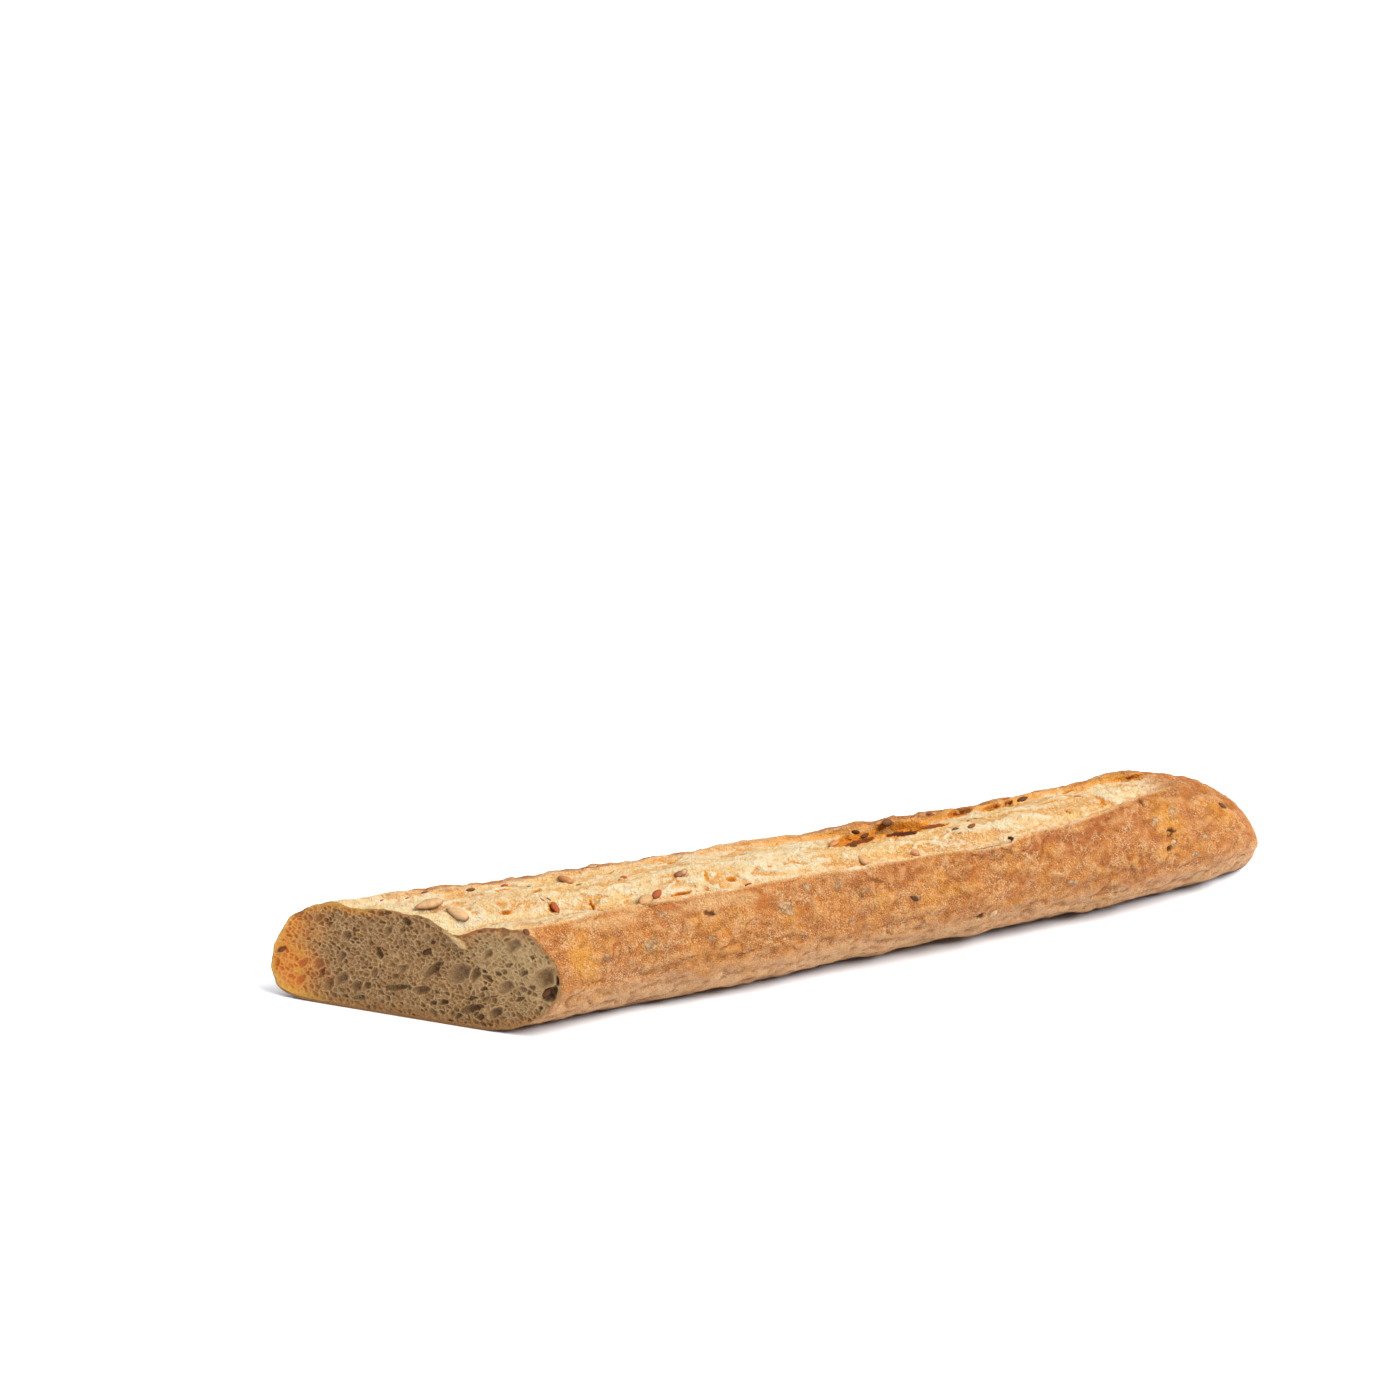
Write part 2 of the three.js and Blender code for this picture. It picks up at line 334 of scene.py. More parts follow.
def oval(start, end, width):
    """The skin's corners inside an oval from one spot to another, and how far in they lie: 0 at
    its rim and 1 in its middle."""
    middle, half = (start + end) / 2, np.linalg.norm(end - start) / 2 + 1e-6
    run = (end - start) / (2 * half)
    reach = max(half, width / 2) + 1
    near = np.array([index for _, index, _ in skin_tree.find_range(middle, reach)], int)
    away = flat_skin[near] - middle
    side = np.linalg.norm(away - np.outer(away @ run, run), axis=1)
    depth = 1 - (away @ run / half) ** 2 - (side / (width / 2)) ** 2
    return near[depth > 0], depth[depth > 0]


def noise_over(spots, size, seed):
    """Soft lumps of this size in mm, from about -1 to 1. The size may differ by direction."""
    moved = spots.reshape(-1, 3) / size + seed * 17.3
    return 1.6 * np.array([noise.noise(spot) for spot in moved.tolist()]).reshape(spots.shape[:-1])


walked = np.cumsum(np.linalg.norm(np.diff(skin, axis=1, prepend=skin[:, :1]), axis=2), axis=1)


def walked_to(corner):
    """How far round each ring this corner of its section lies."""
    return walked[:, [np.abs(walks - corner).argmin()]]


def patchy(size, seed, low, high):
    """Patches of this size over the skin, where its noise rises from low to high."""
    return smooth(noise_over(skin, size, seed), low, high)


# How far each corner of the skin lies past the near lip, and short of the far lip.
past_near, short_of_far = walked - walked_to(NEAR_LIP), walked_to(FAR_LIP) - walked
place, height = skin[..., 0], skin[..., 2]
opened = smooth(opening(place), 0.05, 0.5)
steady = smooth(height, 0, 4) * smooth(BODY_LENGTH - place, 1, 12)
ragged = noise_over(skin, (6, 3, 3), 1)
band = (smooth(past_near + 0.25 * ragged, -0.1, 0.25)
        * smooth(short_of_far + 0.8 * ragged, 0.2, 1.2) * opened)

# The relief: the dough's swells, the crust's leathery bumps and creases, the crests of both lips,
# and the score's torn skin, which has soft lumps along the loaf and short strokes between them.
skewed = skin + place[..., None] * (0, 0.22, 0)
lift = 0.6 * noise_over(skin, (45, 22, 22), 2) + 0.35 * noise_over(skin, (15, 7, 7), 3)
leather = 0.34 * noise_over(skin, (8, 5, 5), 4) + 0.15 * noise_over(skin, 2.7, 17)
crease = (patchy((22, 9, 9), 18, -0.1, 0.5)
          * smooth(-np.abs(noise_over(skin, (9, 5, 5), 19)), -0.14, -0.02))
torn_here = patchy((15, 7, 7), 20, -0.25, 0.45)
flake = noise_over(skewed, (11, 3.4, 3.4), 7) + 0.35 * noise_over(skewed, 2.6, 28)
# The thin line at the foot of each step: partly the torn edge, partly painted shadow.
stroke = band * torn_here * hump(flake, -0.09, 0.1)
sunken = band * torn_here * smooth(flake, 0, -0.5)
by_near = smooth(past_near, 0.8, 2.5) * smooth(past_near, 13, 9) * opened
folds = noise_over(skewed, (9, 1.8, 1.8), 31)
torn_skin = (0.55 * noise_over(skewed, (14, 5, 5), 6)
             + 0.55 * (smooth(flake, -0.06, 0.06) - 0.5) * torn_here
             + 0.22 * noise_over(skewed, 2.2, 27) + 0.4 * by_near * folds)
lift += mix(1.8 * leather - 0.6 * crease, torn_skin, band)
lift += 0.15 * noise_over(skin, 1.6, 5)
crest = smooth(place, 12, 50) * opened * (0.75 + 0.4 * noise_over(skin, 9, 8))
near_crest, near_gutter = hump(past_near, 0, 0.5) * crest, hump(past_near, 1.5, 0.7) * crest
lift += 0.5 * near_crest - 0.9 * near_gutter
lift += hump(short_of_far, 0, 0.9) * opened * (0.15 + 0.4 * noise_over(skin, (10, 4, 4), 9))
push = np.zeros_like(skin)
push[..., 1] += 0.6 * near_crest

# Where the knife left the loaf it dragged the skin of the trough down.
DIP_ACROSS, DIP_WIDE, DIP_LONG, DIP_DEPTH = -10.5, 3.0, 9, 2.8
CUT_INWARD = np.array((math.sin(CUT_ANGLE), math.cos(CUT_ANGLE), 0))


def dip(spots):
    """How far the trough's skin is dragged down at these spots, in mm."""
    return (DIP_DEPTH * hump(spots @ CUT_INWARD, 0, DIP_LONG)
            * hump(spots[..., 1], DIP_ACROSS, DIP_WIDE) * smooth(spots[..., 2], 20, 36))


lift -= dip(skin)

# Colour masks over the skin. Near the cut the far lip is pale, and further on it is baked.
# Painted light: by the cut, where the top slopes down into the knife's dip away from the lamps, the
# skin is painted paler.
by_cut = hump(skin @ CUT_INWARD, 0, 4) * smooth(height, 34, 38)
far_tone = mix(0.25, 1, smooth(place, 60, 200))
# Painted shade, golden, in the gutter behind the near lip and along the far seam.
hollow = np.maximum(
    0.26 * near_gutter * patchy((9, 4, 4), 10, -0.4, 0.4),
    0.14 * far_tone * smooth(short_of_far, 3.2, 1.4) * smooth(short_of_far, 0, 0.8) * opened
    * patchy((12, 6, 6), 24, -0.3, 0.3))
strip = opened * np.maximum(
    far_tone * smooth(short_of_far + ragged, 4.2, 2.2) * smooth(short_of_far, -2.5, -1),
    hump(past_near + 0.5 * folds, 1.9, 1.5) * smooth(place, 52, 75)
    * patchy((16, 6, 6), 34, -0.9, -0.2))
pale_edge = np.maximum(
    (1 - far_tone) * smooth(short_of_far, -5, -2) * smooth(-short_of_far, -1.5, 0) * opened,
    0.45 * hump(past_near, -3.2, 2.6) * smooth(place, 190, 120) * smooth(place, 5, 30)
    * patchy((10, 5, 5), 21, -0.6, 0.4))
tint = 0.9 * by_near * smooth(noise_over(skin, (22, 8, 8), 30) + 0.3 * folds, -0.25, 0.35)
baked = np.maximum(
    hump(past_near, -3.4, 2.8) * mix(0.3, 0.8, smooth(place, 90, 170))
    * (0.55 + 0.6 * noise_over(skin, (16, 9, 9), 25)),
    hump(short_of_far, -0.7, 1.1) * far_tone * (0.6 + 0.6 * noise_over(skin, (8, 4, 4), 26)))
kernel_skin = np.zeros_like(lift)

flat_lift, flat_hollow_shade, flat_kernel, flat_crest, flat_tint = (
    field.reshape(-1) for field in (lift, hollow, kernel_skin, near_crest, tint))
flat_push = push.reshape(-1, 3)


def seen_oval(ends, width):
    """The oval of skin between two spots of the camera's frame, four numbers in all."""
    start, end = (flat_skin[skin_corner(*spot)] for spot in (ends[:2], ends[2:]))
    return oval(start, end, width)


def raise_to(field, inside, level):
    """Lifts the field to this level there, where it is lower."""
    field[inside] = np.maximum(field[inside], level)


def swell(inside, share, rise, shows):
    """Pushes the skin up over a kernel, which shows grey through it by this much."""
    flat_lift[inside] += smooth(share, 0, 0.7) * rise
    raise_to(flat_kernel, inside, smooth(share, 0.1, 0.8) * shows)


# Hollows and tears, from a spot of the frame to another: width and depth in mm.
CAVE_PUSH = np.array((0.1, 0.55, -0.85))
CAVES = (
    (834, 842, 880, 831, 4.4, 2.4), (872, 833, 900, 828, 4.2, 2.4), (896, 829, 930, 824, 3.4, 2),
    (924, 825, 950, 821, 1.8, 1.4), (949, 817, 971, 810, 4, 2.6), (983, 811, 1000, 806, 3.2, 2.2),
    (1002, 807, 1012, 801, 2.8, 2), (1086, 790, 1098, 787, 1.4, 1),
    (1118, 780, 1134, 776, 2.2, 1.8), (1134, 778, 1148, 775, 2.4, 2),
)
for *ends, width, depth in CAVES:
    inside, share = seen_oval(ends, width)
    share = np.clip(share + 0.4 * noise_over(flat_skin[inside], 1.5, 23), 0, 1)
    share *= 1 - 0.8 * smooth(noise_over(flat_skin[inside], (1.6, 6, 6), 29), 0.45, 0.7)
    flat_push[inside] += np.outer(np.sqrt(share) * depth, CAVE_PUSH)

# Smaller pits and tears: width and depth in mm, and how dark each is painted inside, as painted
# shade.
PITS = (
    (493, 892, 511, 889, 1.6, 0.6, 0.5), (531, 893, 542, 889, 1.8, 0.7, 0.6),
    (604, 873, 615, 871, 1.2, 0.5, 0.5), (619, 877, 630, 876, 1.6, 0.8, 0.9),
    (658, 865, 678, 862, 2.6, 0.8, 0.6), (500, 914, 511, 912, 2, 0.6, 0.6),
    (551, 901, 556, 914, 3.4, 1.2, 0.7), (590, 898, 594, 910, 1.6, 0.9, 0.8),
    (704, 874, 708, 886, 1.4, 0.7, 0.6), (727, 880, 737, 879, 2.6, 0.8, 0.6),
    (672, 896, 692, 892, 1.2, 0.6, 0.7), (640, 904, 652, 901, 2.2, 0.9, 0.7),
    (934, 853, 950, 847, 3, 0.5, 0.4), (940, 826, 950, 824, 1, 0.5, 0.7),
    (1062, 793, 1075, 790, 1.2, 0.6, 0.6), (1040, 804, 1056, 801, 1.2, 0.6, 0.5),
    (1092, 797, 1108, 806, 3, 1, 0.5), (786, 857, 803, 864, 0.9, 0.4, 0.5),
    (1064, 809, 1074, 814, 1, 0.6, 0.9), (1138, 799, 1144, 808, 1.8, 0.8, 0.6),
    (702, 912, 715, 913, 1.6, 1, 0.9), (975, 917, 984, 914, 2.2, 1.4, 1),
    (1168, 834, 1176, 831, 2.4, 1.6, 1), (1165, 850, 1171, 847, 2, 1.4, 0.9),
    (1172, 840, 1176, 843, 1.4, 0.8, 0.8), (868, 878, 884, 882, 1.6, 0.5, 0.4),
    (647, 975, 672, 964, 1.2, 0.6, 0.05), (676, 963, 702, 953, 1.2, 0.65, 0.05),
    (765, 966, 772, 976, 0.8, 0.3, 0.3), (1128, 865, 1138, 875, 1.4, 0.5, 0.4),
    (1008, 849, 1016, 856, 1.4, 0.6, 0.4),
)
for *ends, width, depth, dark in PITS:
    inside, share = seen_oval(ends, width)
    share = np.clip(share + 0.45 * noise_over(flat_skin[inside], 1.2, 33), 0, 1)
    flat_lift[inside] -= np.sqrt(share) * depth
    raise_to(flat_hollow_shade, inside, share ** (0.5 - 0.25 * dark) * dark)

# Kernels that lie just under the skin push it up, and show grey where it has worn thin.
SWELLS = (
    (640, 949, 663, 939, 6.4, 0.9, 0.75), (602, 958, 611, 951, 2.8, 0.6, 0.7),
    (683, 930, 698, 918, 5.2, 0.7, 0.1), (708, 942, 717, 934, 3, 0.5, 0.6),
    (713, 948, 731, 940, 3.6, 0.7, 0.1), (777, 901, 797, 914, 5.6, 0.7, 1),
    (801, 881, 812, 892, 2.6, 0.5, 1), (832, 889, 844, 882, 3, 0.5, 0.7),
    (857, 892, 876, 884, 4.4, 0.8, 0.3), (847, 924, 856, 917, 2.6, 0.4, 0.8),
    (910, 896, 922, 900, 2.8, 0.5, 1), (914, 926, 927, 920, 3.2, 0.4, 0.7),
    (742, 953, 755, 946, 3.4, 0.5, 0.4), (711, 967, 724, 961, 3.4, 0.5, 0.3),
    (993, 857, 1004, 852, 3.2, 0.6, 0.3), (1065, 881, 1079, 884, 3, 0.5, 1),
    (1012, 907, 1024, 903, 2.8, 0.4, 0.6), (1031, 903, 1042, 898, 2.6, 0.4, 0.4),
    (986, 918, 1000, 911, 3, 0.5, 0.7), (1148, 826, 1158, 818, 3, 0.3, 0.7),
    (1166, 817, 1175, 809, 2.4, 0.3, 0.8), (1200, 839, 1210, 833, 3, 0.3, 0.7),
    (1187, 856, 1199, 850, 3.2, 0.3, 0.5), (1169, 848, 1177, 841, 2.6, 0.6, 0.8),
    (1012, 868, 1030, 862, 5, 0.6, 0), (1120, 812, 1138, 806, 6, 0.8, 0),
    (582, 870, 592, 866, 2.6, 0.8, 0), (875, 824, 890, 820, 3.2, 1, 0),
    (655, 917, 671, 911, 4, 0.5, 0.5), (830, 846, 840, 840, 3.2, 0.9, 0),
)
for *ends, width, rise, shows in SWELLS:
    swell(*seen_oval(ends, width), rise, shows)

# The skin folds over itself where the near lip breaks: a thin ridge, with a step below its end.
RIDGES = (
    (999, 846, 1013, 849, 1.5, 0.5), (1011, 848, 1024, 854, 1.5, 0.6),
    (1021, 852, 1036, 864, 1.5, 0.5), (1046, 868, 1066, 876, 1.2, 0.3),
    (1092, 862, 1100, 874, 1.2, 0.3), (1132, 868, 1140, 880, 1.2, 0.35),
)
for *ends, width, rise in RIDGES:
    inside, share = seen_oval(ends, width)
    flat_lift[inside] += np.sqrt(share) * rise
    raise_to(flat_crest, inside, 0.8 * share)

# More swells and pits where the camera does not look, and small blisters all round the loaf.
SEED, OFF_BASE = 38, 3
HIDDEN_SWELLS, HIDDEN_PITS, BLISTERS = 60, 26, 420
chance = np.random.default_rng(SEED)


def random_oval(length, width):
    """A random oval on the skin, off the flat base."""
    while True:
        corner = chance.integers(len(flat_skin))
        if flat_skin[corner, 2] > OFF_BASE:
            break
    run = chance.normal(size=3) * (1.6, 1, 1)
    run -= flat_outward[corner] * (run @ flat_outward[corner])
    run *= length / 2 / np.linalg.norm(run)
    return (corner, *oval(flat_skin[corner] - run, flat_skin[corner] + run, width))


for _ in range(HIDDEN_SWELLS):
    corner, inside, share = random_oval(chance.uniform(5, 9), chance.uniform(3, 4.5))
    shows = chance.uniform(0.2, 1)
    if not faces_camera[corner]:
        swell(inside, share, chance.uniform(0.3, 0.7), shows)
for _ in range(HIDDEN_PITS):
    corner, inside, share = random_oval(chance.uniform(2, 5), chance.uniform(1.2, 2.4))
    if not faces_camera[corner]:
        flat_lift[inside] -= np.sqrt(share) * 0.8
        # Painted shade inside each hidden pit.
        raise_to(flat_hollow_shade, inside, np.sqrt(share) * 0.9)
for _ in range(BLISTERS):
    corner, inside, share = random_oval(chance.uniform(1.6, 4.5), chance.uniform(1.4, 3.2))
    flat_lift[inside] += share * chance.uniform(0.08, 0.3)

# Golden patches of the crust, and baked brown ones below 0, each with its width and strength.
TINTS = (
    (570, 930, 594, 985, 15, 1), (636, 953, 666, 944, 10, 0.9), (780, 920, 802, 912, 7, 0.7),
    (866, 906, 900, 892, 9, 0.8), (933, 894, 988, 885, 6, 0.8), (1143, 800, 1182, 842, 18, 1),
    (1190, 800, 1238, 828, 14, 0.7), (1150, 856, 1186, 850, 7, 0.6), (688, 927, 702, 915, 6, 0.5),
    (1148, 797, 1172, 790, 6, 0.8), (722, 925, 760, 912, 7, 0.4), (1030, 880, 1052, 872, 7, 0.5),
    (1083, 837, 1113, 814, 8, -1), (1093, 863, 1137, 848, 11, -0.7),
    (955, 860, 1004, 850, 6, -0.8), (868, 888, 950, 862, 6, -0.35), (700, 906, 762, 893, 4, -0.1),
    (1020, 847, 1076, 828, 5, -0.8), (1000, 882, 1062, 868, 8, -0.5),
    (845, 925, 872, 905, 9, -0.5), (1014, 851, 1046, 852, 5, -1), (1118, 872, 1136, 884, 7, -0.5),
    (1050, 852, 1116, 836, 12, -0.8), (596, 925, 690, 912, 7, -0.15),
    (440, 905, 565, 893, 15, 0.5), (930, 850, 1012, 834, 14, 0.9), (1030, 815, 1112, 794, 14, 0.6),
    (820, 866, 925, 850, 6, 0.5), (492, 908, 545, 903, 7, 0.9), (560, 917, 622, 904, 4, 0.8),
    (640, 904, 735, 886, 5, 1), (655, 864, 682, 862, 4, 0.8), (560, 880, 590, 882, 4, 0.7),
    (725, 880, 745, 886, 5, 1), (1028, 806, 1066, 798, 5, 0.7), (1085, 808, 1110, 800, 6, 0.8),
    (930, 853, 950, 847, 4, 0.8), (985, 842, 1008, 845, 6, 1), (960, 846, 990, 840, 6, 0.6),
    (820, 866, 860, 858, 6, 0.6), (475, 921, 520, 924, 3, 0.9), (600, 874, 640, 878, 4, 0.5),
)
for *ends, width, strength in TINTS:
    inside, share = seen_oval(ends, width)
    flat_tint[inside] += smooth(share, 0, 0.9) * strength


def spread(field, reach):
    """The field averaged over this many corners each way."""
    steps = range(-reach, reach + 1)
    field = sum(np.roll(field, step, 1) for step in steps) / len(steps)
    padded = np.pad(field, ((reach, reach), (0, 0)), "edge")
    return sum(padded[reach + step:reach + step + len(field)] for step in steps) / len(steps)


lift *= steady
push *= steady[..., None]
# Painted shade and light from the relief: above 0 where the skin lies lower than round it, for
# painted shade in its hollows, and below 0 where it stands higher, for painted highlights on its
# tops.
cavity = np.clip((spread(lift, 3) - lift) / 0.3, -1, 1)
moved = outward * lift[..., None] + push
moved[0] -= np.outer(moved[0] @ CUT_INWARD, CUT_INWARD)
crust_skin = skin + moved
crust_skin[..., 2] = np.maximum(crust_skin[..., 2], 0)

# Inside the caves the torn skin is painted amber on its walls, as painted light, and dark brown at
# their bottom, as painted shade. Each of these ovals runs from one spot of the frame to another,
# with its width there and how dark it is painted.
CAVE_OVALS = (
    (830, 845, 882, 832, 12, 0.4), (844, 846, 876, 838, 5, 0.8), (868, 834, 930, 825, 15, 0.4),
    (884, 836, 920, 832, 5, 0.95), (918, 829, 948, 824, 4, 0.7), (945, 816, 975, 808, 9, 0.5),
    (953, 815, 968, 811, 4, 0.9), (980, 811, 1004, 804, 6, 0.5), (988, 809, 998, 806, 2.5, 0.8),
    (1002, 806, 1014, 800, 5, 0.8), (1114, 780, 1150, 774, 6, 0.5), (1120, 779, 1134, 777, 3, 0.9),
    (1138, 777, 1147, 775, 3, 0.9),
)
cave_lumps = noise_over(skin, (1.8, 1.6, 1.6), 35).reshape(-1)
seen_spots = np.stack(seen_at(crust_skin.reshape(-1, 3))[:2], 1)
near_caves = (band.reshape(-1) > 0.3) * smooth(short_of_far.reshape(-1), 25, 18)
for *ends, width, dark in CAVE_OVALS:
    first, last = np.reshape(ends, (2, 2))
    run, half = last - first, np.hypot(*(last - first)) / 2
    away = seen_spots - (first + last) / 2
    along, beside = away @ run / (2 * half), away @ (-run[1], run[0]) / (2 * half)
    share = 1 - (along / half) ** 2 - (beside / (width / 2)) ** 2 + 0.35 * cave_lumps
    raise_to(flat_hollow_shade, slice(None), dark * smooth(share, 0, 0.3) * near_caves)

# The loaf rests on the middle of its base, and its edges stand just clear of the table.
EDGE_GAP, EDGE_REACH = 0.6, 3.5
round_base = walked[:, -1:] + np.linalg.norm(skin[:, -1:] - skin[:, :1], axis=2)
for off_edge in (np.minimum(walked, round_base - walked), walked - walked_to(LAST_CORNER)):
    crust_skin[..., 2] += (EDGE_GAP * hump(off_edge, 0, EDGE_REACH)
                           * smooth(BODY_LENGTH - place, 2, 20))

# The inside of the crust, and the rim that the knife left at the cut.
CRUST_THICK, CRUMB_UNDER = 1.6, 1.72      # how deep the crust ends and the crumb starts
INNER_PLACES = np.array([8, 20, 40, 70, 110, 150, 190, 230, 262, straight, straight + 18,
                         straight + 32, straight + 42])


def inner_skin(thickness):
    """Coarse rings inside the loaf's skin, this deep under it."""
    deep = loaf_spots(np.repeat(INNER_PLACES, columns), np.tile(walks, len(INNER_PLACES)))
    deep = deep.reshape(-1, columns, 3)
    round_it = np.roll(deep, -1, 1) - np.roll(deep, 1, 1)
    out = np.cross((1, 0, 0), round_it)
    deep = deep - out / np.linalg.norm(out, axis=2, keepdims=True) * thickness
    deep[..., 2] -= 1.15 * dip(deep + (0, 0, thickness))
    return deep


def band_faces(rows, wide, start=0, flip=False):
    """Quads between rings of corners that follow each other."""
    here = start + np.arange(rows - 1)[:, None] * wide + np.arange(wide)
    beside = start + np.arange(rows - 1)[:, None] * wide + np.roll(np.arange(wide), -1)
    quads = np.stack([here, here + wide, beside + wide, beside], -1).reshape(-1, 4)
    return (quads[:, ::-1] if flip else quads).tolist()


def add_mesh(name, spots, faces, masks):
    """A smooth-shaded object from corners in the loaf's millimetres, with named masks."""
    mesh = bpy.data.meshes.new(name)
    mesh.from_pydata(((spots + TO_FRAME) * MM).tolist(), [], faces)
    for mask, values in masks.items():
        attribute = mesh.attributes.new(mask, "FLOAT", "POINT")
        attribute.data.foreach_set("value", np.asarray(values, np.float32))
    mesh.shade_smooth()
    piece = bpy.data.objects.new(name, mesh)
    bpy.context.scene.collection.objects.link(piece)
    return piece


rim = crust_skin[0]
rim_run = np.roll(rim, -1, 0) - np.roll(rim, 1, 0)
rim_inward = np.cross(CUT_INWARD, rim_run)
rim_inward /= np.linalg.norm(rim_inward, axis=1, keepdims=True)
BAND_RIM, CRUST_RIM = 0.35, 0.6      # how thick the skin shows at the cut
on_band = (walks > NEAR_LIP) & (walks < FAR_LIP)
rim_thick = np.where(on_band, BAND_RIM, CRUST_RIM) * (1 + 0.4 * noise_over(rim, 3, 11))
rim_thick += 0.5 * smooth(-rim[:, 2], -6, 0)
rim_thick *= 1 - 0.75 * smooth(rim[:, 1], 8, 26) * smooth(rim[:, 2], 3, 12)
inner_rim = rim - rim_inward * rim_thick[:, None]
inner = np.concatenate([inner_rim[None], inner_skin(CRUST_THICK)])
nose = np.array([(BODY_LENGTH, NOSE_ACROSS, NOSE_HEIGHT)])
inner_nose = inner[-1].mean(0, keepdims=True)
outer_count, inner_count = rings * columns, inner[..., 0].size
crust_faces = (band_faces(rings, columns)
               + band_faces(len(inner), columns, outer_count, flip=True))
last_ring, inner_last = outer_count - columns, outer_count + inner_count - columns
nose_index = outer_count + inner_count
for column in range(columns):
    beside = (column + 1) % columns
    crust_faces.append((column, beside, outer_count + beside, outer_count + column))
    crust_faces.append((last_ring + column, nose_index, last_ring + beside))
    crust_faces.append((inner_last + column, inner_last + beside, nose_index + 1))


def over_crust(field, inside=0.0):
    """A mask over the whole crust, from its values on the outer skin."""
    return np.concatenate([field.reshape(-1), np.full(inner_count, inside),
                           [field[-1].mean(), inside]])


crust_masks = {
    "band": band, "hollow": np.clip(hollow, 0, 1), "kernel": kernel_skin, "crest": near_crest,
    "baked": np.clip(baked, 0, 1) * steady, "pale": pale_edge, "cavity": cavity, "tint": tint,
    "stroke": stroke, "sunken": sunken, "by_cut": by_cut, "strip": strip}
crust = add_mesh(
    "crust", np.concatenate([crust_skin.reshape(-1, 3), inner.reshape(-1, 3), nose, inner_nose]),
    crust_faces, {"cut": over_crust(np.zeros_like(lift), 1),
                  **{name: over_crust(field) for name, field in crust_masks.items()}})
SHARP_ANGLE = 62
crust.data.set_sharp_from_angle(angle=math.radians(SHARP_ANGLE))

LIGHT_LEVEL = 1.46           # how much brighter than its own colour a thing shows on this table


def paint(red, green, blue):
    """A colour as a shader takes it, from how it shows on the table, in steps of 0 to 255."""
    shows = [((step / 255 + 0.055) / 1.055) ** 2.4 for step in (red, green, blue)]
    return tuple(level / LIGHT_LEVEL for level in shows) + (1,)


def feed(tree, node, inputs):
    """Links or sets a shader node's inputs."""
    for name, value in inputs.items():
        value = getattr(value, "socket", value)
        if isinstance(value, bpy.types.NodeSocket):
            tree.links.new(value, node.inputs[name])
        else:
            node.inputs[name].default_value = value


class Node:
    """A shader node with these settings and inputs. Sums and products can be written with what
    comes out of it."""

    def __init__(self, tree, kind, inputs, output=0, **settings):
        self.tree, self.node = tree, tree.nodes.new("ShaderNode" + kind)
        for name, value in settings.items():
            setattr(self.node, name, value)
        feed(tree, self.node, inputs)
        self.socket = self.node.outputs[output]

    def math(self, operation, other=0):
        return Node(self.tree, "Math", {0: self, 1: other}, operation=operation)

    def __add__(self, other):
        return self.math("ADD", other)

    def __mul__(self, other):
        return self.math("MULTIPLY", other)

    def over(self, start, end, most=1, least=0, **settings):
        """least where the value is start, rising or falling to most where it is end."""
        return Node(self.tree, "MapRange", {"Value": self, "From Min": start, "From Max": end,
                                            "To Min": least, "To Max": most}, **settings)


def patches_group():
    """Soft-edged patches of any size, such as browning, flour or specks."""
    group = bpy.data.node_groups.new("patches", "ShaderNodeTree")
    group.interface.new_socket("Spot", in_out="INPUT", socket_type="NodeSocketVector")
    for name in ("Size", "Low", "High", "Detail"):
        group.interface.new_socket(name, in_out="INPUT", socket_type="NodeSocketFloat")
    group.interface.new_socket("Mask", in_out="OUTPUT", socket_type="NodeSocketFloat")
    given = group.nodes.new("NodeGroupInput").outputs
    scale = Node(group, "Math", {0: 1, 1: given["Size"]}, operation="DIVIDE")
    lumps = Node(group, "TexNoise", {"Vector": given["Spot"], "Scale": scale,
                                     "Detail": given["Detail"], "Roughness": 0.6})
    mask = lumps.over(given["Low"], given["High"], interpolation_type="SMOOTHSTEP")
    group.links.new(mask.socket, group.nodes.new("NodeGroupOutput").inputs["Mask"])
    return group


PATCHES = patches_group()


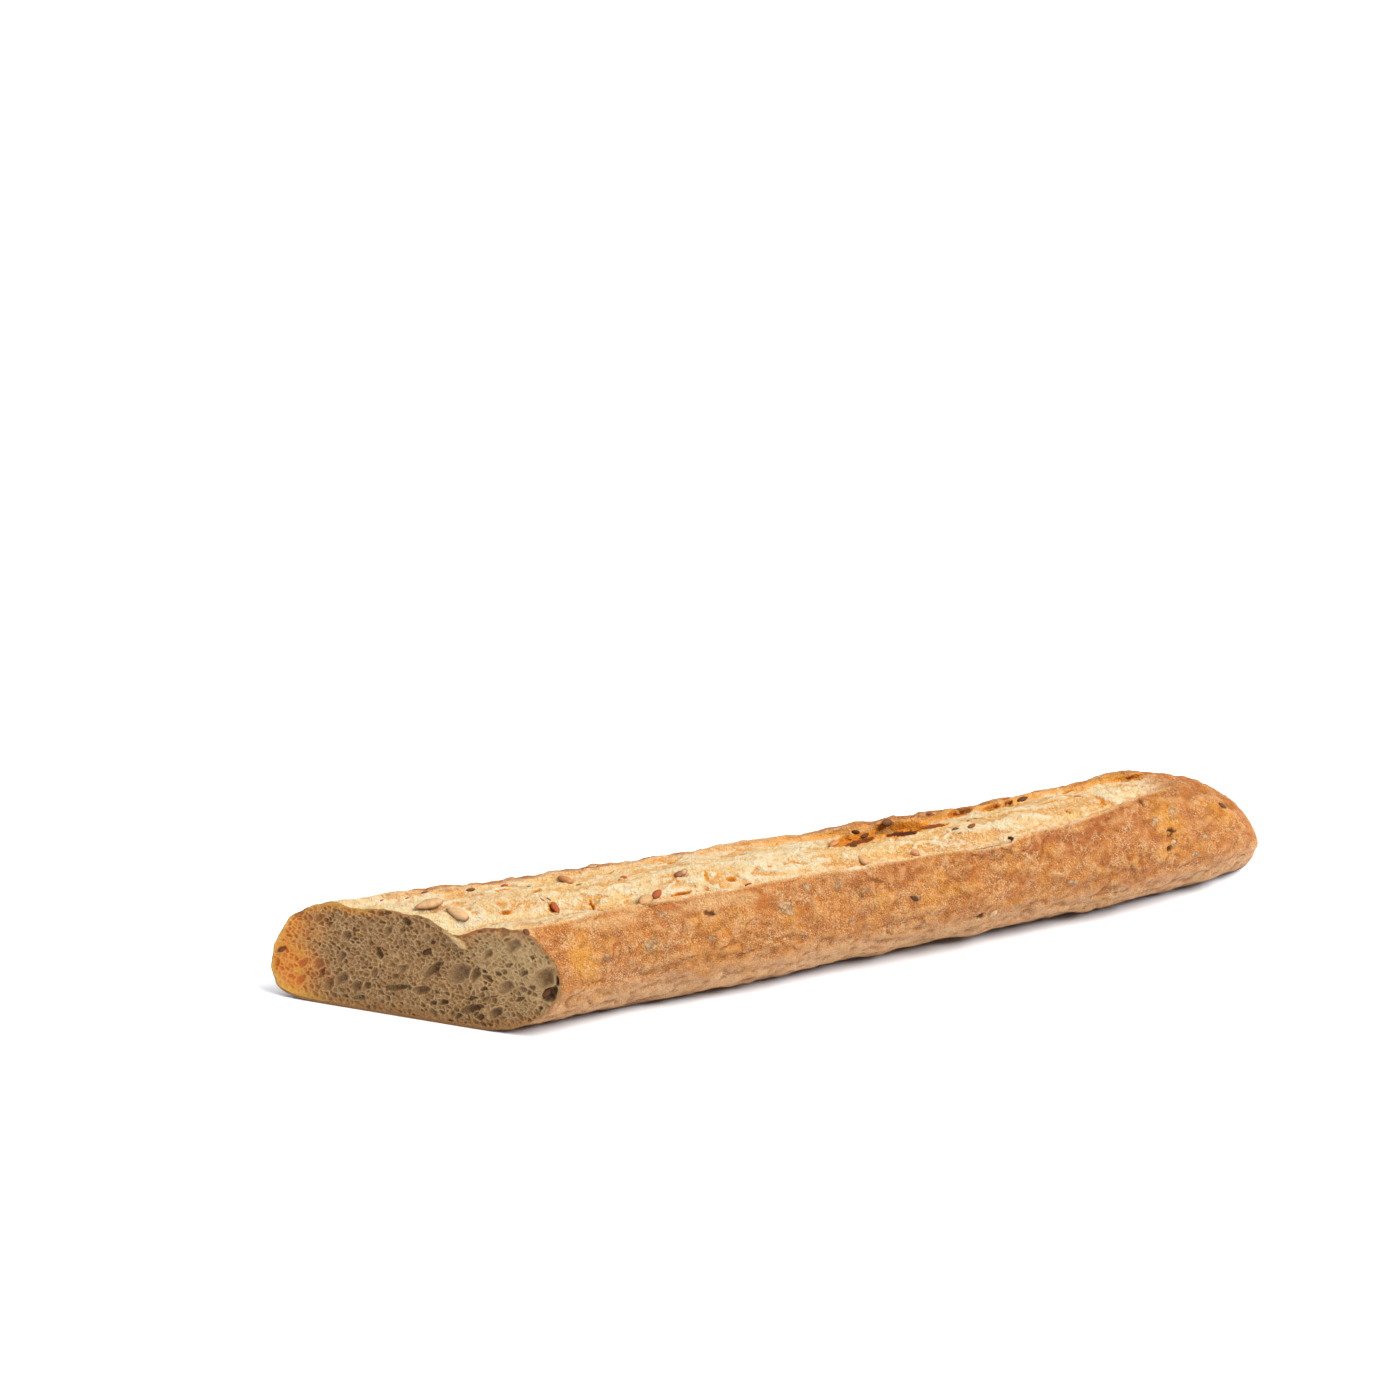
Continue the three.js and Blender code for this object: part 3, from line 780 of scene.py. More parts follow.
class Finish:
    """A material whose base colour is laid on in coats."""

    def __init__(self, name):
        self.material = bpy.data.materials.new(name)
        self.material.use_nodes = True
        self.tree = self.material.node_tree
        self.spot = self.node("VectorMath", {0: self.node("TexCoord", {}, "Object"), 3: 1 / MM},
                              operation="SCALE")

    def node(self, kind, inputs, output=0, **settings):
        return Node(self.tree, kind, inputs, output, **settings)

    def mask(self, name):
        """The mesh's mask of this name."""
        return self.node("Attribute", {}, "Fac", attribute_name=name)

    def patches(self, size, low, high, detail=3, shift=0, pull=1):
        """Patches of this size in mm, pulled this many times longer along the loaf."""
        spot = self.node("VectorMath", {0: self.spot, 1: (1 / pull, 1, 1), 2: (shift,) * 3},
                         operation="MULTIPLY_ADD")
        return self.node("Group", {"Spot": spot, "Size": size, "Low": low, "High": high,
                                   "Detail": detail}, node_tree=PATCHES)

    def blend(self, share, first, second):
        """One colour over another, where the share is 1. A tuple is how a colour shows."""
        first, second = (paint(*colour) if isinstance(colour, tuple) else colour
                         for colour in (first, second))
        return self.node("Mix", {0: share, 6: first, 7: second}, 2, data_type="RGBA")

    def coats(self, *coats):
        """More coats over the base colour: where each lies, its strength and how it shows."""
        for share, strength, *shows in coats:
            share = self.mask(share) if isinstance(share, str) else share
            self.colour = self.blend(share * strength, self.colour, tuple(shows))

    def ramp(self, value, *stops, steps="LINEAR"):
        """Colours that follow a value: each a place from 0 to 1, and how it shows."""
        node = self.node("ValToRGB", {0: value})
        ramp = node.node.color_ramp
        ramp.interpolation = steps
        ramp.elements[1].position = stops[-1][0]
        ramp.elements[0].color, ramp.elements[1].color = paint(*stops[0][1:]), paint(*stops[-1][1:])
        for stop, *shows in stops[1:-1]:
            ramp.elements.new(stop).color = paint(*shows)
        return node

    def dress(self, piece, roughness, specular=0.5, relief=None, strength=1, others=()):
        """Gives the piece this material, with a bump where there is relief."""
        inputs = {"Base Color": self.colour, "Roughness": roughness,
                  "Specular IOR Level": specular, **dict(others)}
        if relief:
            inputs["Normal"] = self.node("Bump", {"Height": relief, "Distance": MM,
                                                  "Strength": strength})
        feed(self.tree, self.tree.nodes["Principled BSDF"], inputs)
        piece.data.materials.append(self.material)


look = Finish("baked crust")
onward, height_up = (look.node("SeparateXYZ", {0: look.spot}, axis) for axis in (0, 2))
tinted, relief_shading_mask, hollow_shades = (look.mask(name) for name in ("tint", "cavity", "hollow"))
low_down = height_up.over(22, 9, interpolation_type="SMOOTHSTEP")
golden = ((tinted.over(0, 1, 0.9) + look.patches(16, 0.52, 0.66, 6, 20) * 0.45)
          * look.patches(6, 0.12, 0.5, 9, 30))
brown = (tinted.over(0, -1, 0.95) + look.mask("baked") * 0.8) * look.patches(7, 0.2, 0.52, 9, 80)
off_middle = (look.patches(2.6, 0, 1, 4, 150) + -0.5).math("ABSOLUTE")
wrinkles = off_middle.over(0.05, 0) * look.patches(9, 0.45, 0.6, 4, 155)   # thin winding lines
look.colour = look.blend(look.patches(24, 0.4, 0.6, 6), (196, 108, 26), (214, 130, 42))
look.coats(
    (look.patches(12, 0.42, 0.68, 8, 40), 0.5, 196, 108, 34),
    ((low_down + 0.14) * look.patches(4, 0.38, 0.62, 14, 120), 0.8, 252, 200, 152),
    (low_down * look.patches(11, 0.2, 0.55, 4, 130), 0.75, 246, 190, 136),
    (golden, 1, 232, 154, 52),
    (brown, 1, 188, 104, 44),
    (look.patches(0.6, 0.53, 0.64, 3, 200), 0.5, 156, 88, 38),
    # Painted shade in the skin's hollows.
    (relief_shading_mask.over(0.1, 1), 0.65, 164, 92, 38),
    (wrinkles, 0.8, 252, 212, 160))

# The dusting of flour, thin on the golden and brown patches and towards the rounded end.
bare = onward.over(60, 120, 0.5) + (golden + brown) * 0.6
dusty = look.patches(0.42, 0.5, 0.62, 2, 160) * look.patches(10, 0.25, 0.58, 5, 170)
look.coats(
    (dusty, bare.over(0, 1, 0.15, 0.58), 255, 210, 146),
    # Painted highlight on the skin's raised tops.
    (relief_shading_mask.over(-0.15, -1), 0.4, 242, 190, 126),
    (look.mask("crest") * look.patches(6, 0.25, 0.5, 5, 180), 0.75, 252, 206, 146),
    ("pale", 1, 255, 208, 144),
    # Painted shade: the side darkens towards its bottom edge, where it curves under, and more so
    # further along the loaf.
    (height_up.over(6.5, 0.5), 0.8, 132, 82, 44),
    (height_up.over(5, 0.5) * onward.over(-20, 160), 0.75, 96, 58, 34),
    # Painted shade, dark brown, inside pits and hollows.
    (hollow_shades.over(0.05, 0.6), 0.9, 104, 54, 24))
plain_colour = look.colour

# The score's band is paler, and golden where its skin dips or tore.
look.colour = look.blend(look.patches(9, 0.42, 0.6, 8, 240, 2), (255, 230, 182), (253, 208, 136))
look.coats(
    (look.patches(3, 0.52, 0.64, 10, 320, 2) * 0.5 + look.mask("sunken"), 0.75, 240, 172, 80),
    (tinted.over(0.1, 0.9) * look.patches(5, 0.25, 0.6, 8, 260, 2.5), 0.45, 244, 180, 92),
    (tinted.over(0.1, 1) * look.patches(1.2, 0.42, 0.56, 3, 270), 0.75, 226, 152, 62),
    # Painted shade, golden, in the band's hollows.
    (relief_shading_mask.over(0.1, 1), 0.75, 232, 160, 74),
    (look.patches(0.9, 0.52, 0.64, 3, 280), 0.5, 255, 242, 214),
    (look.patches(0.7, 0.6, 0.68, 4, 290, 1.6), 0.5, 226, 152, 70),
    # Painted highlight on the band's raised tops.
    (relief_shading_mask.over(-0.25, -1), 0.6, 255, 240, 208),
    # Orange-brown lines at the foot of the torn skin's steps: the torn edge, and painted shadow.
    (look.mask("stroke") * look.patches(3, 0.4, 0.56, 8, 300), 0.85, 220, 136, 48),
    # Painted light by the cut.
    ("by_cut", 0.6, 255, 228, 172),
    (look.mask("strip") * look.patches(4, 0.26, 0.5, 8, 310), 0.9, 250, 168, 76))
look.colour = look.blend(look.mask("band"), plain_colour, look.colour)
# In the band's caves and hollows: painted light, amber, on their walls, and painted shade, dark
# brown, at their bottom.
cave_shading = look.ramp(hollow_shades, (0, 252, 190, 94), (0.4, 242, 146, 32), (0.65, 170, 84, 18),
                        (1, 62, 24, 6))
cave_cover = hollow_shades.over(0.04, 0.22) * look.mask("band").over(0.1, 0.35)
look.colour = look.blend(cave_cover, look.colour, cave_shading)

# Where the skin over a kernel has worn thin, the kernel shows pale grey with a dark outline.
worn = look.mask("kernel") + look.patches(1.8, 0.3, 0.7, 8, 360).over(0, 1, 0.5)
look.coats((worn.over(0.5, 0.62), 0.6, 150, 96, 52))
grey = look.blend(look.patches(1.5, 0.4, 0.6, 4, 380), (232, 192, 144), (172, 126, 78))
look.colour = look.blend(worn.over(0.62, 0.82, 0.8), look.colour, grey)
look.coats(("cut", 1, 208, 146, 72))
coarse, fine = look.patches(2.4, 0.25, 0.75, 8, 400), look.patches(0.8, 0.3, 0.7, 5, 440)
look.dress(crust, 0.62, 0.22, coarse * 0.55 + fine * 0.5 + wrinkles * 0.12)
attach(crust, "root")
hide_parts("loaf")

# ---------------------------------------------------------------------------------------------
# The crumb: the soft inside of the loaf, laid bare by one slanting stroke of the bread knife.
# Its face is a foam of cells of every size with thin walls between them, and the rest of it
# fills the crust.
FACE_STEP, ROW_SHARE = 0.25, 0.866      # between spots of the face in mm, and between their rows
CUT_RUN = np.array((-math.cos(CUT_ANGLE), math.sin(CUT_ANGLE), 0))
outline = np.stack([inner_rim @ CUT_RUN, inner_rim[:, 2]], 1)


def on_cut(across, down):
    """Where the camera's sight through this spot of its frame meets the cut, along and up."""
    sight = (-SIGHT_BACK + (across - FRAME / 2) / FOCUS * SIGHT_RIGHT
             - (down - FRAME / 2) / FOCUS * SIGHT_UP)
    met = CAMERA_SPOT - sight * (CAMERA_SPOT @ CUT_INWARD) / (sight @ CUT_INWARD)
    return np.array((met @ CUT_RUN, met[2]))


def rim_distance(spots):
    """How far spots on the cut lie from the crust, and whether they lie inside it."""
    starts, ends = outline, np.roll(outline, -1, 0)
    nearest = np.full(len(spots), np.inf)
    crossings = np.zeros(len(spots), int)
    for start, end in zip(starts, ends):
        run = end - start
        share = np.clip((spots - start) @ run / (run @ run), 0, 1)
        nearest = np.minimum(nearest, np.hypot(*(spots - start - share[:, None] * run).T))
        if start[1] != end[1]:
            meets = start[0] + (spots[:, 1] - start[1]) / run[1] * run[0]
            crossings += ((spots[:, 1] > min(start[1], end[1]))
                          & (spots[:, 1] <= max(start[1], end[1])) & (spots[:, 0] < meets))
    return nearest, crossings % 2 == 1


low, high = outline.min(0), outline.max(0)
grid_across, grid_up = np.meshgrid(np.arange(low[0], high[0], FACE_STEP),
                                   np.arange(low[1], high[1], FACE_STEP * ROW_SHARE))
grid_across[1::2] += FACE_STEP / 2
lattice = np.stack([grid_across.ravel(), grid_up.ravel()], 1)
lattice += chance.uniform(-0.05, 0.05, lattice.shape)
rim_away, inside = rim_distance(lattice)
keep = inside & (rim_away > FACE_STEP * 0.45)
face_spots = np.concatenate([outline, lattice[keep]])
rim_away = np.concatenate([np.zeros(columns), rim_away[keep]])

# The larger cells, each from one spot of the frame to another, with its width, its depth, how
# dark it is painted inside as painted shade, and how steep its walls are: 1 is steep and 3 a
# shallow dish.
CELLS = (
    (378, 947, 381, 959, 2.8, 1.6, 0.8, 1), (402, 920, 410, 923, 2.4, 1.4, 0.6, 1),
    (342, 940, 351, 931, 3.6, 1.1, 0.2, 2), (353, 928, 356, 932, 1.2, 0.7, 0.6, 1),
    (423, 978, 442, 963, 3, 1.6, 0.4, 1), (534, 987, 556, 970, 7.4, 2, 0, 2),
    (556, 974, 559, 986, 2.4, 2.6, 0.7, 1), (543, 1001, 556, 988, 5, 3, 0.6, 1),
    (516, 1001, 524, 998, 1.8, 1, 0.6, 1), (526, 994, 531, 991, 1.4, 0.8, 0.5, 1),
    (480, 990, 488, 988, 1.6, 1, 0.4, 1), (467, 1000, 478, 997, 1.6, 1, 0.6, 1),
    (489, 998, 497, 996, 1.2, 0.6, 0.3, 1), (461, 1012, 483, 1006, 3.2, 1.5, 0.6, 1),
    (489, 1018, 502, 1008, 3.4, 1.3, 0.4, 2), (476, 1019, 483, 1016, 2, 1, 0.7, 1),
    (455, 1018, 463, 1015, 1.8, 1, 0.8, 1), (430, 1004, 437, 1002, 1.6, 0.8, 0.6, 1),
    (438, 1005, 448, 1001, 2, 1, 0.6, 1), (352, 1000, 366, 996, 2.2, 0.8, 0.3, 1),
    (506, 967, 513, 964, 2, 0.8, 0.3, 1), (519, 976, 527, 971, 2, 0.8, 0.5, 1),
    (446, 982, 470, 966, 6.6, 1.4, 0, 2), (471, 982, 480, 966, 3.6, 1.4, 0.2, 2),
    (505, 952, 521, 940, 4.6, 0.9, 0, 3), (498, 993, 514, 983, 4.6, 1, 0, 2),
    (378, 990, 412, 986, 3, 1.2, 0.1, 2), (414, 992, 431, 988, 3.6, 1.4, 0.2, 2),
    (323, 990, 335, 976, 4.4, 1.3, 0.1, 2), (334, 985, 348, 974, 4, 1.2, 0.1, 2),
    (351, 992, 362, 982, 4.2, 1.3, 0.2, 2), (363, 991, 370, 983, 2.4, 0.9, 0.3, 1),
    (313, 969, 323, 959, 3.8, 1.1, 0.1, 2), (318, 978, 326, 968, 2, 1, 0.6, 1),
    (272, 967, 280, 959, 2.6, 1, 0.1, 1), (298, 967, 308, 959, 3, 1, 0.1, 1),
    (290, 918, 303, 910, 3.4, 1, 0.1, 1), (314, 921, 324, 915, 2.6, 1, 0.3, 1),
    (327, 926, 333, 922, 1.8, 0.8, 0.5, 1), (338, 962, 344, 953, 2.6, 0.8, 0.1, 2),
    (530, 990, 537, 984, 2, 1, 0.4, 1), (498, 938, 512, 926, 3.6, 0.8, 0, 3),
    (396, 972, 408, 966, 3, 0.8, 0.1, 2), (483, 1001, 489, 997, 1.4, 0.7, 0.3, 1),
    (372, 978, 377, 968, 2.6, 0.9, 0.1, 2), (400, 935, 404, 927, 2, 0.8, 0.1, 1),
    (484, 960, 492, 949, 3.2, 0.8, 0, 3), (268, 945, 276, 933, 3.2, 0.8, 0, 2),
    (296, 985, 306, 975, 3, 0.8, 0, 2), (385, 935, 392, 926, 2.6, 0.8, 0, 2),
)
STEEP, PLAIN_TONE = {1: 0.5, 2: 1.0, 3: 1.4}, 0.6
ROOM_STEP = 0.2              # of the map of how much room the cells leave, in mm
room_across, room_up = np.arange(low[0], high[0], ROOM_STEP), np.arange(low[1], high[1], ROOM_STEP)
room = np.full((len(room_across), len(room_up)), np.inf)
cells = []


def gaps_to(spots, cells):
    """How far each spot lies outside each cell's oval, below 0 inside it."""
    across, up, half_long, half_wide, turn = np.array(cells, np.float32)[:, :5].T
    away_across, away_up = spots[:, :1] - across, spots[:, 1:] - up
    along = (away_across * np.cos(turn) + away_up * np.sin(turn)) / half_long
    side = (away_up * np.cos(turn) - away_across * np.sin(turn)) / half_wide
    return (np.hypot(along, side) - 1) * np.sqrt(half_long * half_wide)


def add_cell(*cell):
    """Adds one cell of the foam, and marks how much room it leaves round it."""
    cells.append(cell)
    reach = max(cell[2], cell[3]) + 2
    window = [slice(*np.searchsorted(line, (middle - reach, middle + reach)))
              for line, middle in ((room_across, cell[0]), (room_up, cell[1]))]
    near = np.stack(np.meshgrid(room_across[window[0]], room_up[window[1]], indexing="ij"), -1)
    gaps = gaps_to(near.reshape(-1, 2), [cell]).reshape(near.shape[:2])
    room[tuple(window)] = np.minimum(room[tuple(window)], gaps)


for *ends, width, depth, dark, steep in CELLS:
    start, end = on_cut(*ends[:2]), on_cut(*ends[2:])
    turn = math.atan2(*(end - start)[::-1])
    add_cell(*(start + end) / 2, np.linalg.norm(end - start) / 2, width / 2, turn, depth, dark,
             STEEP[steep], PLAIN_TONE)

# The foam between them: the cells' radius in mm, and how many spots are tried for each size.
FOAM = ((1.45, 16), (1.15, 90), (0.9, 800), (0.7, 5000), (0.55, 5000))
TOUCH = 0.85                 # how much of its radius a new cell keeps clear of its neighbours
LEAN = 0.5                   # how the cells lean, in radians
for radius, tries in FOAM:
    for spot in chance.uniform(low, high, (tries, 2)):
        place_on_map = tuple(((spot - low) / ROOM_STEP).astype(int))
        if room[place_on_map] > radius * TOUCH:
            pull = chance.uniform(1, 1.5)
            deep = chance.beta(1.6, 3.2)
            add_cell(*spot, radius * pull, radius / pull ** 0.3, chance.normal(LEAN, 0.7),
                     radius * (0.15 + 0.95 * deep), 0.5 * (deep > 0.75),
                     chance.uniform(0.6, 1.1), deep)
cells = np.array(cells)

# Each spot of the face belongs to its nearest cell, and the walls stand where two are as near.
face_along, face_up = face_spots.T
flat_face = np.stack([face_along, np.zeros(len(face_spots)), face_up], 1)
warp = np.stack([noise_over(flat_face, 1.6, 12), noise_over(flat_face, 1.6, 13)], 1)
WARP, WALL_WIDTH = 0.28, 0.14   # how far the walls wander and how wide they show, in mm
bent = face_spots + warp * WARP
owner = np.zeros(len(face_spots), int)
wall_away = np.zeros(len(face_spots))
STRIP = 4                    # the face is worked out in strips this wide, in mm
for begin in np.arange(low[0], high[0], STRIP):
    here = np.flatnonzero((bent[:, 0] >= begin - 1) & (bent[:, 0] < begin + STRIP + 1))
    near = np.flatnonzero(np.abs(cells[:, 0] - begin - STRIP / 2) < STRIP * 1.5)
    gaps = gaps_to(bent[here], cells[near])
    closest = np.partition(gaps, 1, axis=1)
    owner[here] = near[gaps.argmin(1)]
    wall_away[here] = (closest[:, 1] - closest[:, 0]) / 2
half_wide, depth, dark, steepness, cell_tone = cells[owner][:, [3, 5, 6, 7, 8]].T
bowl = smooth(wall_away, 0.02, 0.9 * half_wide) ** steepness
sunk = bowl * depth
wall = hump(wall_away, 0, WALL_WIDTH)
big = smooth(half_wide, 0.9, 1.5)
# Painted shade on one side of each larger cell, and painted light on the other.
in_cell = (face_spots - cells[owner, :2]) @ (-0.8, 0.6) / np.sqrt(cells[owner, 2] * half_wide)
roomy = bowl * smooth(half_wide, 0.45, 1.0)
shaded, lit = roomy * smooth(in_cell, -0.1, 0.8), roomy * smooth(-in_cell, 0.1, 0.8)

# The far tip of the face is a thin wedge, so cells there stay shallow, and light glows through.
wedge = smooth(face_along, 0, 25)
depth_limit = np.where(wedge > 0, 0.6 * rim_away + 9 * (1 - wedge), np.inf)
sunk = np.minimum(sunk * smooth(rim_away, 0.1, 0.8), depth_limit)
GLOW_REACH, GLOW_STRENGTH = 18.5, 0.36
glow = smooth(GLOW_REACH + 3 * noise_over(flat_face, 9, 16) - outline[:, 0].max() + face_along,
              -9, 13)
sunk *= 1 - 0.3 * glow
sunk += 0.3 * noise_over(flat_face, 12, 15) * smooth(rim_away, 0, 3) + 0.08 * warp[:, 0]
top_glow = smooth(4.5 + 1.5 * warp[:, 1] - rim_away, 0, 4.5) * wedge * smooth(face_up, 22, 36)
glow = np.maximum(glow, 0.75 * top_glow)

# Next to the crust the crumb is baked golden, in a wide soft edge, and browner low down.
near_rim = smooth(2.2 + 1.6 * smooth(face_up, 12, 3) + noise_over(flat_face, 5, 17) - rim_away,
                  0, 2.2)
golden_start, golden_end = on_cut(527, 929)[0], on_cut(466, 927)[0]
golden_rim = (smooth(1.5 + 0.6 * warp[:, 1] - rim_away, 0, 1) * smooth(face_up, 30, 36)
              * smooth(face_along, golden_start, golden_start + 3)
              * smooth(face_along, golden_end + 2, golden_end))
peach = (smooth(6 + warp[:, 0] - rim_away, 0, 5) * smooth(face_up, 26, 36)
         * smooth(face_along, golden_start - 3, golden_start + 2)
         * smooth(face_along, golden_end + 4, golden_end))
# Painted light: the right part of the face, where light falls in over the rim, is painted lighter.
shade_end, light_start = on_cut(430, 960)[0], on_cut(530, 960)[0]
light_side = smooth(face_along, shade_end, light_start) * smooth(face_up, 4, 24)
fold_start, fold_end = on_cut(445, 929), on_cut(463, 946)
fold_run = fold_end - fold_start
fold_share = np.clip((face_spots - fold_start) @ fold_run / (fold_run @ fold_run), 0, 1)
fold_away = np.hypot(*(face_spots - fold_start - fold_share[:, None] * fold_run).T)
fold_skin = smooth(1.7 + 0.5 * warp[:, 0] - fold_away, 0, 1.4)
sunk = sunk * (1 - fold_skin) - 1.3 * fold_skin

face = np.outer(face_along, CUT_RUN) + np.outer(sunk, CUT_INWARD)
face[:, 2] += face_up
outline_edges = [(corner, (corner + 1) % columns) for corner in range(columns)]
_, _, triangles, *_ = delaunay_2d_cdt(
    [Vector(spot) for spot in face_spots.tolist()], outline_edges, [], 1, 1e-7, False)
triangles = np.array(triangles)[:, ::-1]
triangles = triangles[rim_distance(face_spots[triangles].mean(1))[1]]
body = inner_skin(CRUMB_UNDER)
body_start = len(face)
body_end = body_start + body[..., 0].size
ring_join = [(column, body_start + column, body_start + (column + 1) % columns,
              (column + 1) % columns) for column in range(columns)]
end_fan = [(body_end - columns + column, body_end, body_end - columns + (column + 1) % columns)
           for column in range(columns)]
crumb_faces = (triangles.tolist() + ring_join
               + band_faces(len(body), columns, body_start) + end_fan)
crumb_spots = np.concatenate([face, body.reshape(-1, 3), body[-1].mean(0, keepdims=True)])
crumb_masks = {
    "sunk": bowl * np.clip(depth, 0, 1.6), "rim": near_rim, "glow": glow, "wall": wall,
    "dark": smooth(bowl, 0.15, 0.8) * dark * (1 - 0.8 * glow), "big": big * (1 - wall),
    "cell_tone": cell_tone, "fold": fold_skin, "golden_rim": golden_rim, "peach": peach,
    "light_side": light_side, "shaded": shaded * (1 - glow), "lit": lit}
rest = np.zeros(len(crumb_spots) - len(face))
crumb = add_mesh("crumb", crumb_spots, crumb_faces,
                 {name: np.append(field, rest) for name, field in crumb_masks.items()})

look = Finish("crumb")
shift = look.node("VectorMath", {0: (0.8, 0.8, 0.8), 3: look.patches(1.4, 0.3, 0.7, 3, 10)},
                  operation="SCALE")
foam_spot = look.node("VectorMath", {0: look.spot, 1: shift}, operation="ADD")
foam = look.node("TexVoronoi", {"Vector": foam_spot, "Scale": 1.2}, "Distance",
                 feature="DISTANCE_TO_EDGE")
foam_wall, deep = foam.over(0.1, 0), look.mask("sunk").over(0.03, 0.4)
# The base colour is darker and browner than lit crumb: painted shade over the whole face.
look.colour = look.blend(look.patches(9, 0.35, 0.65, 5), (214, 151, 76), (199, 135, 60))
look.coats(
    ("light_side", 0.85, 255, 207, 135),
    # Painted shade in the cells: their floors darker, the deeper the darker, and the darkest near
    # black, with painted shade and painted light on the two sides of the larger ones.
    (foam.over(0.08, 0.45) * look.patches(3, 0.3, 0.6, 4, 60), 0.6, 146, 98, 42),
    (deep * look.mask("cell_tone").over(0, 0.6), 0.5, 150, 98, 42),
    ("big", 0.5, 190, 142, 84),
    (look.mask("sunk").over(0.35, 1.5), 0.25, 140, 94, 48),
    ("dark", 0.8, 118, 66, 20),
    ("shaded", 0.55, 104, 64, 26),
    ("lit", 0.45, 222, 176, 116),
    # Painted highlights on the cell walls.
    (foam_wall * look.patches(1.6, 0.4, 0.58, 4, 70), 0.9, 255, 226, 168),
    (look.mask("wall") * look.patches(2.2, 0.34, 0.6, 5, 50), 0.85, 255, 218, 156),
    (look.mask("rim") * deep.over(1, 0), 0.6, 218, 146, 62),
    ("peach", 0.55, 250, 182, 110),
    ("fold", 0.85, 255, 214, 148),
    ("golden_rim", 0.85, 220, 128, 40))
plain_colour = look.colour

# Where light glows through the thin tip, the crumb is painted amber, with painted highlights on its
# walls and painted shade in deeper cells, and gives a little light itself.
look.colour = look.blend(deep * 0.8, (242, 150, 28), (222, 108, 8))
look.coats(
    (look.patches(4, 0.48, 0.66, 4, 110), 1, 255, 186, 54),
    ("wall", 0.6, 252, 182, 84),
    ("rim", 0.7, 255, 188, 62))
look.colour = look.blend(look.mask("glow") * 0.9, plain_colour, look.colour)
NO_GLOW = [0, 0, 0, 1]
shine = look.blend(deep, (250, 156, 34), (224, 96, 4))
shine = look.blend(look.mask("rim"), shine, (255, 190, 80))
shine = look.blend(look.mask("glow"), NO_GLOW, shine)
look.dress(crumb, 0.42, relief=look.patches(0.5, 0.35, 0.65, 4, 90) * 0.3 + foam_wall * 0.35,
           others={"Emission Color": shine, "Emission Strength": GLOW_STRENGTH,
                   "Subsurface Weight": 0.12, "Subsurface Radius": (1, 0.55, 0.25),
                   "Subsurface Scale": 0.0006})
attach(crumb, "root")
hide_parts("loaf")

# ---------------------------------------------------------------------------------------------
# The sunflower kernels: hulled and toasted, pressed into the dough before it was baked. Each is a
# flattened drop, blunt at one end and pointed at the other, with faint ribs along it.
crust_flat = crust_skin.reshape(-1, 3)
skin_across, skin_down, skin_far = seen_at(crust_flat)     # so that seeds lie where they are seen
turned_away = np.einsum("ij,ij->i", flat_outward, CAMERA_SPOT - flat_skin) < -0.3 * skin_far


def drop(rows, sides, blunt, ribs):
    """A flattened drop's corners, 1 long and 1 across, pointed at its far end, and its faces."""
    spots = [(-0.5, 0, 0)]
    for row in range(1, rows):
        share = (1 - math.cos(math.pi * row / rows)) / 2
        around_it = share ** blunt * (1 - share) ** 0.72
        for side in range(sides):
            angle = 2 * math.pi * side / sides
            reach = around_it * (1 + ribs * math.cos(6 * angle))
            spots.append((share - 0.5, reach * math.cos(angle), reach * math.sin(angle)))
    spots = np.array(spots + [(0.5, 0, 0)])
    spots[:, 1:] /= 2 * np.abs(spots[:, 1]).max()
    last = len(spots) - 1
    faces = []
    for side in range(sides):
        beside = (side + 1) % sides
        faces.append((0, 1 + beside, 1 + side))
        faces.append((last, last - sides + side, last - sides + beside))
        for row in range(rows - 2):
            here = 1 + row * sides
            faces.append((here + side, here + beside, here + sides + beside, here + sides + side))
    return spots, faces


SLIMNESS = 2.45              # the most that a seed is long for its width
NOSE_REACH = 22              # the last stretch of the loaf, where no seed lies


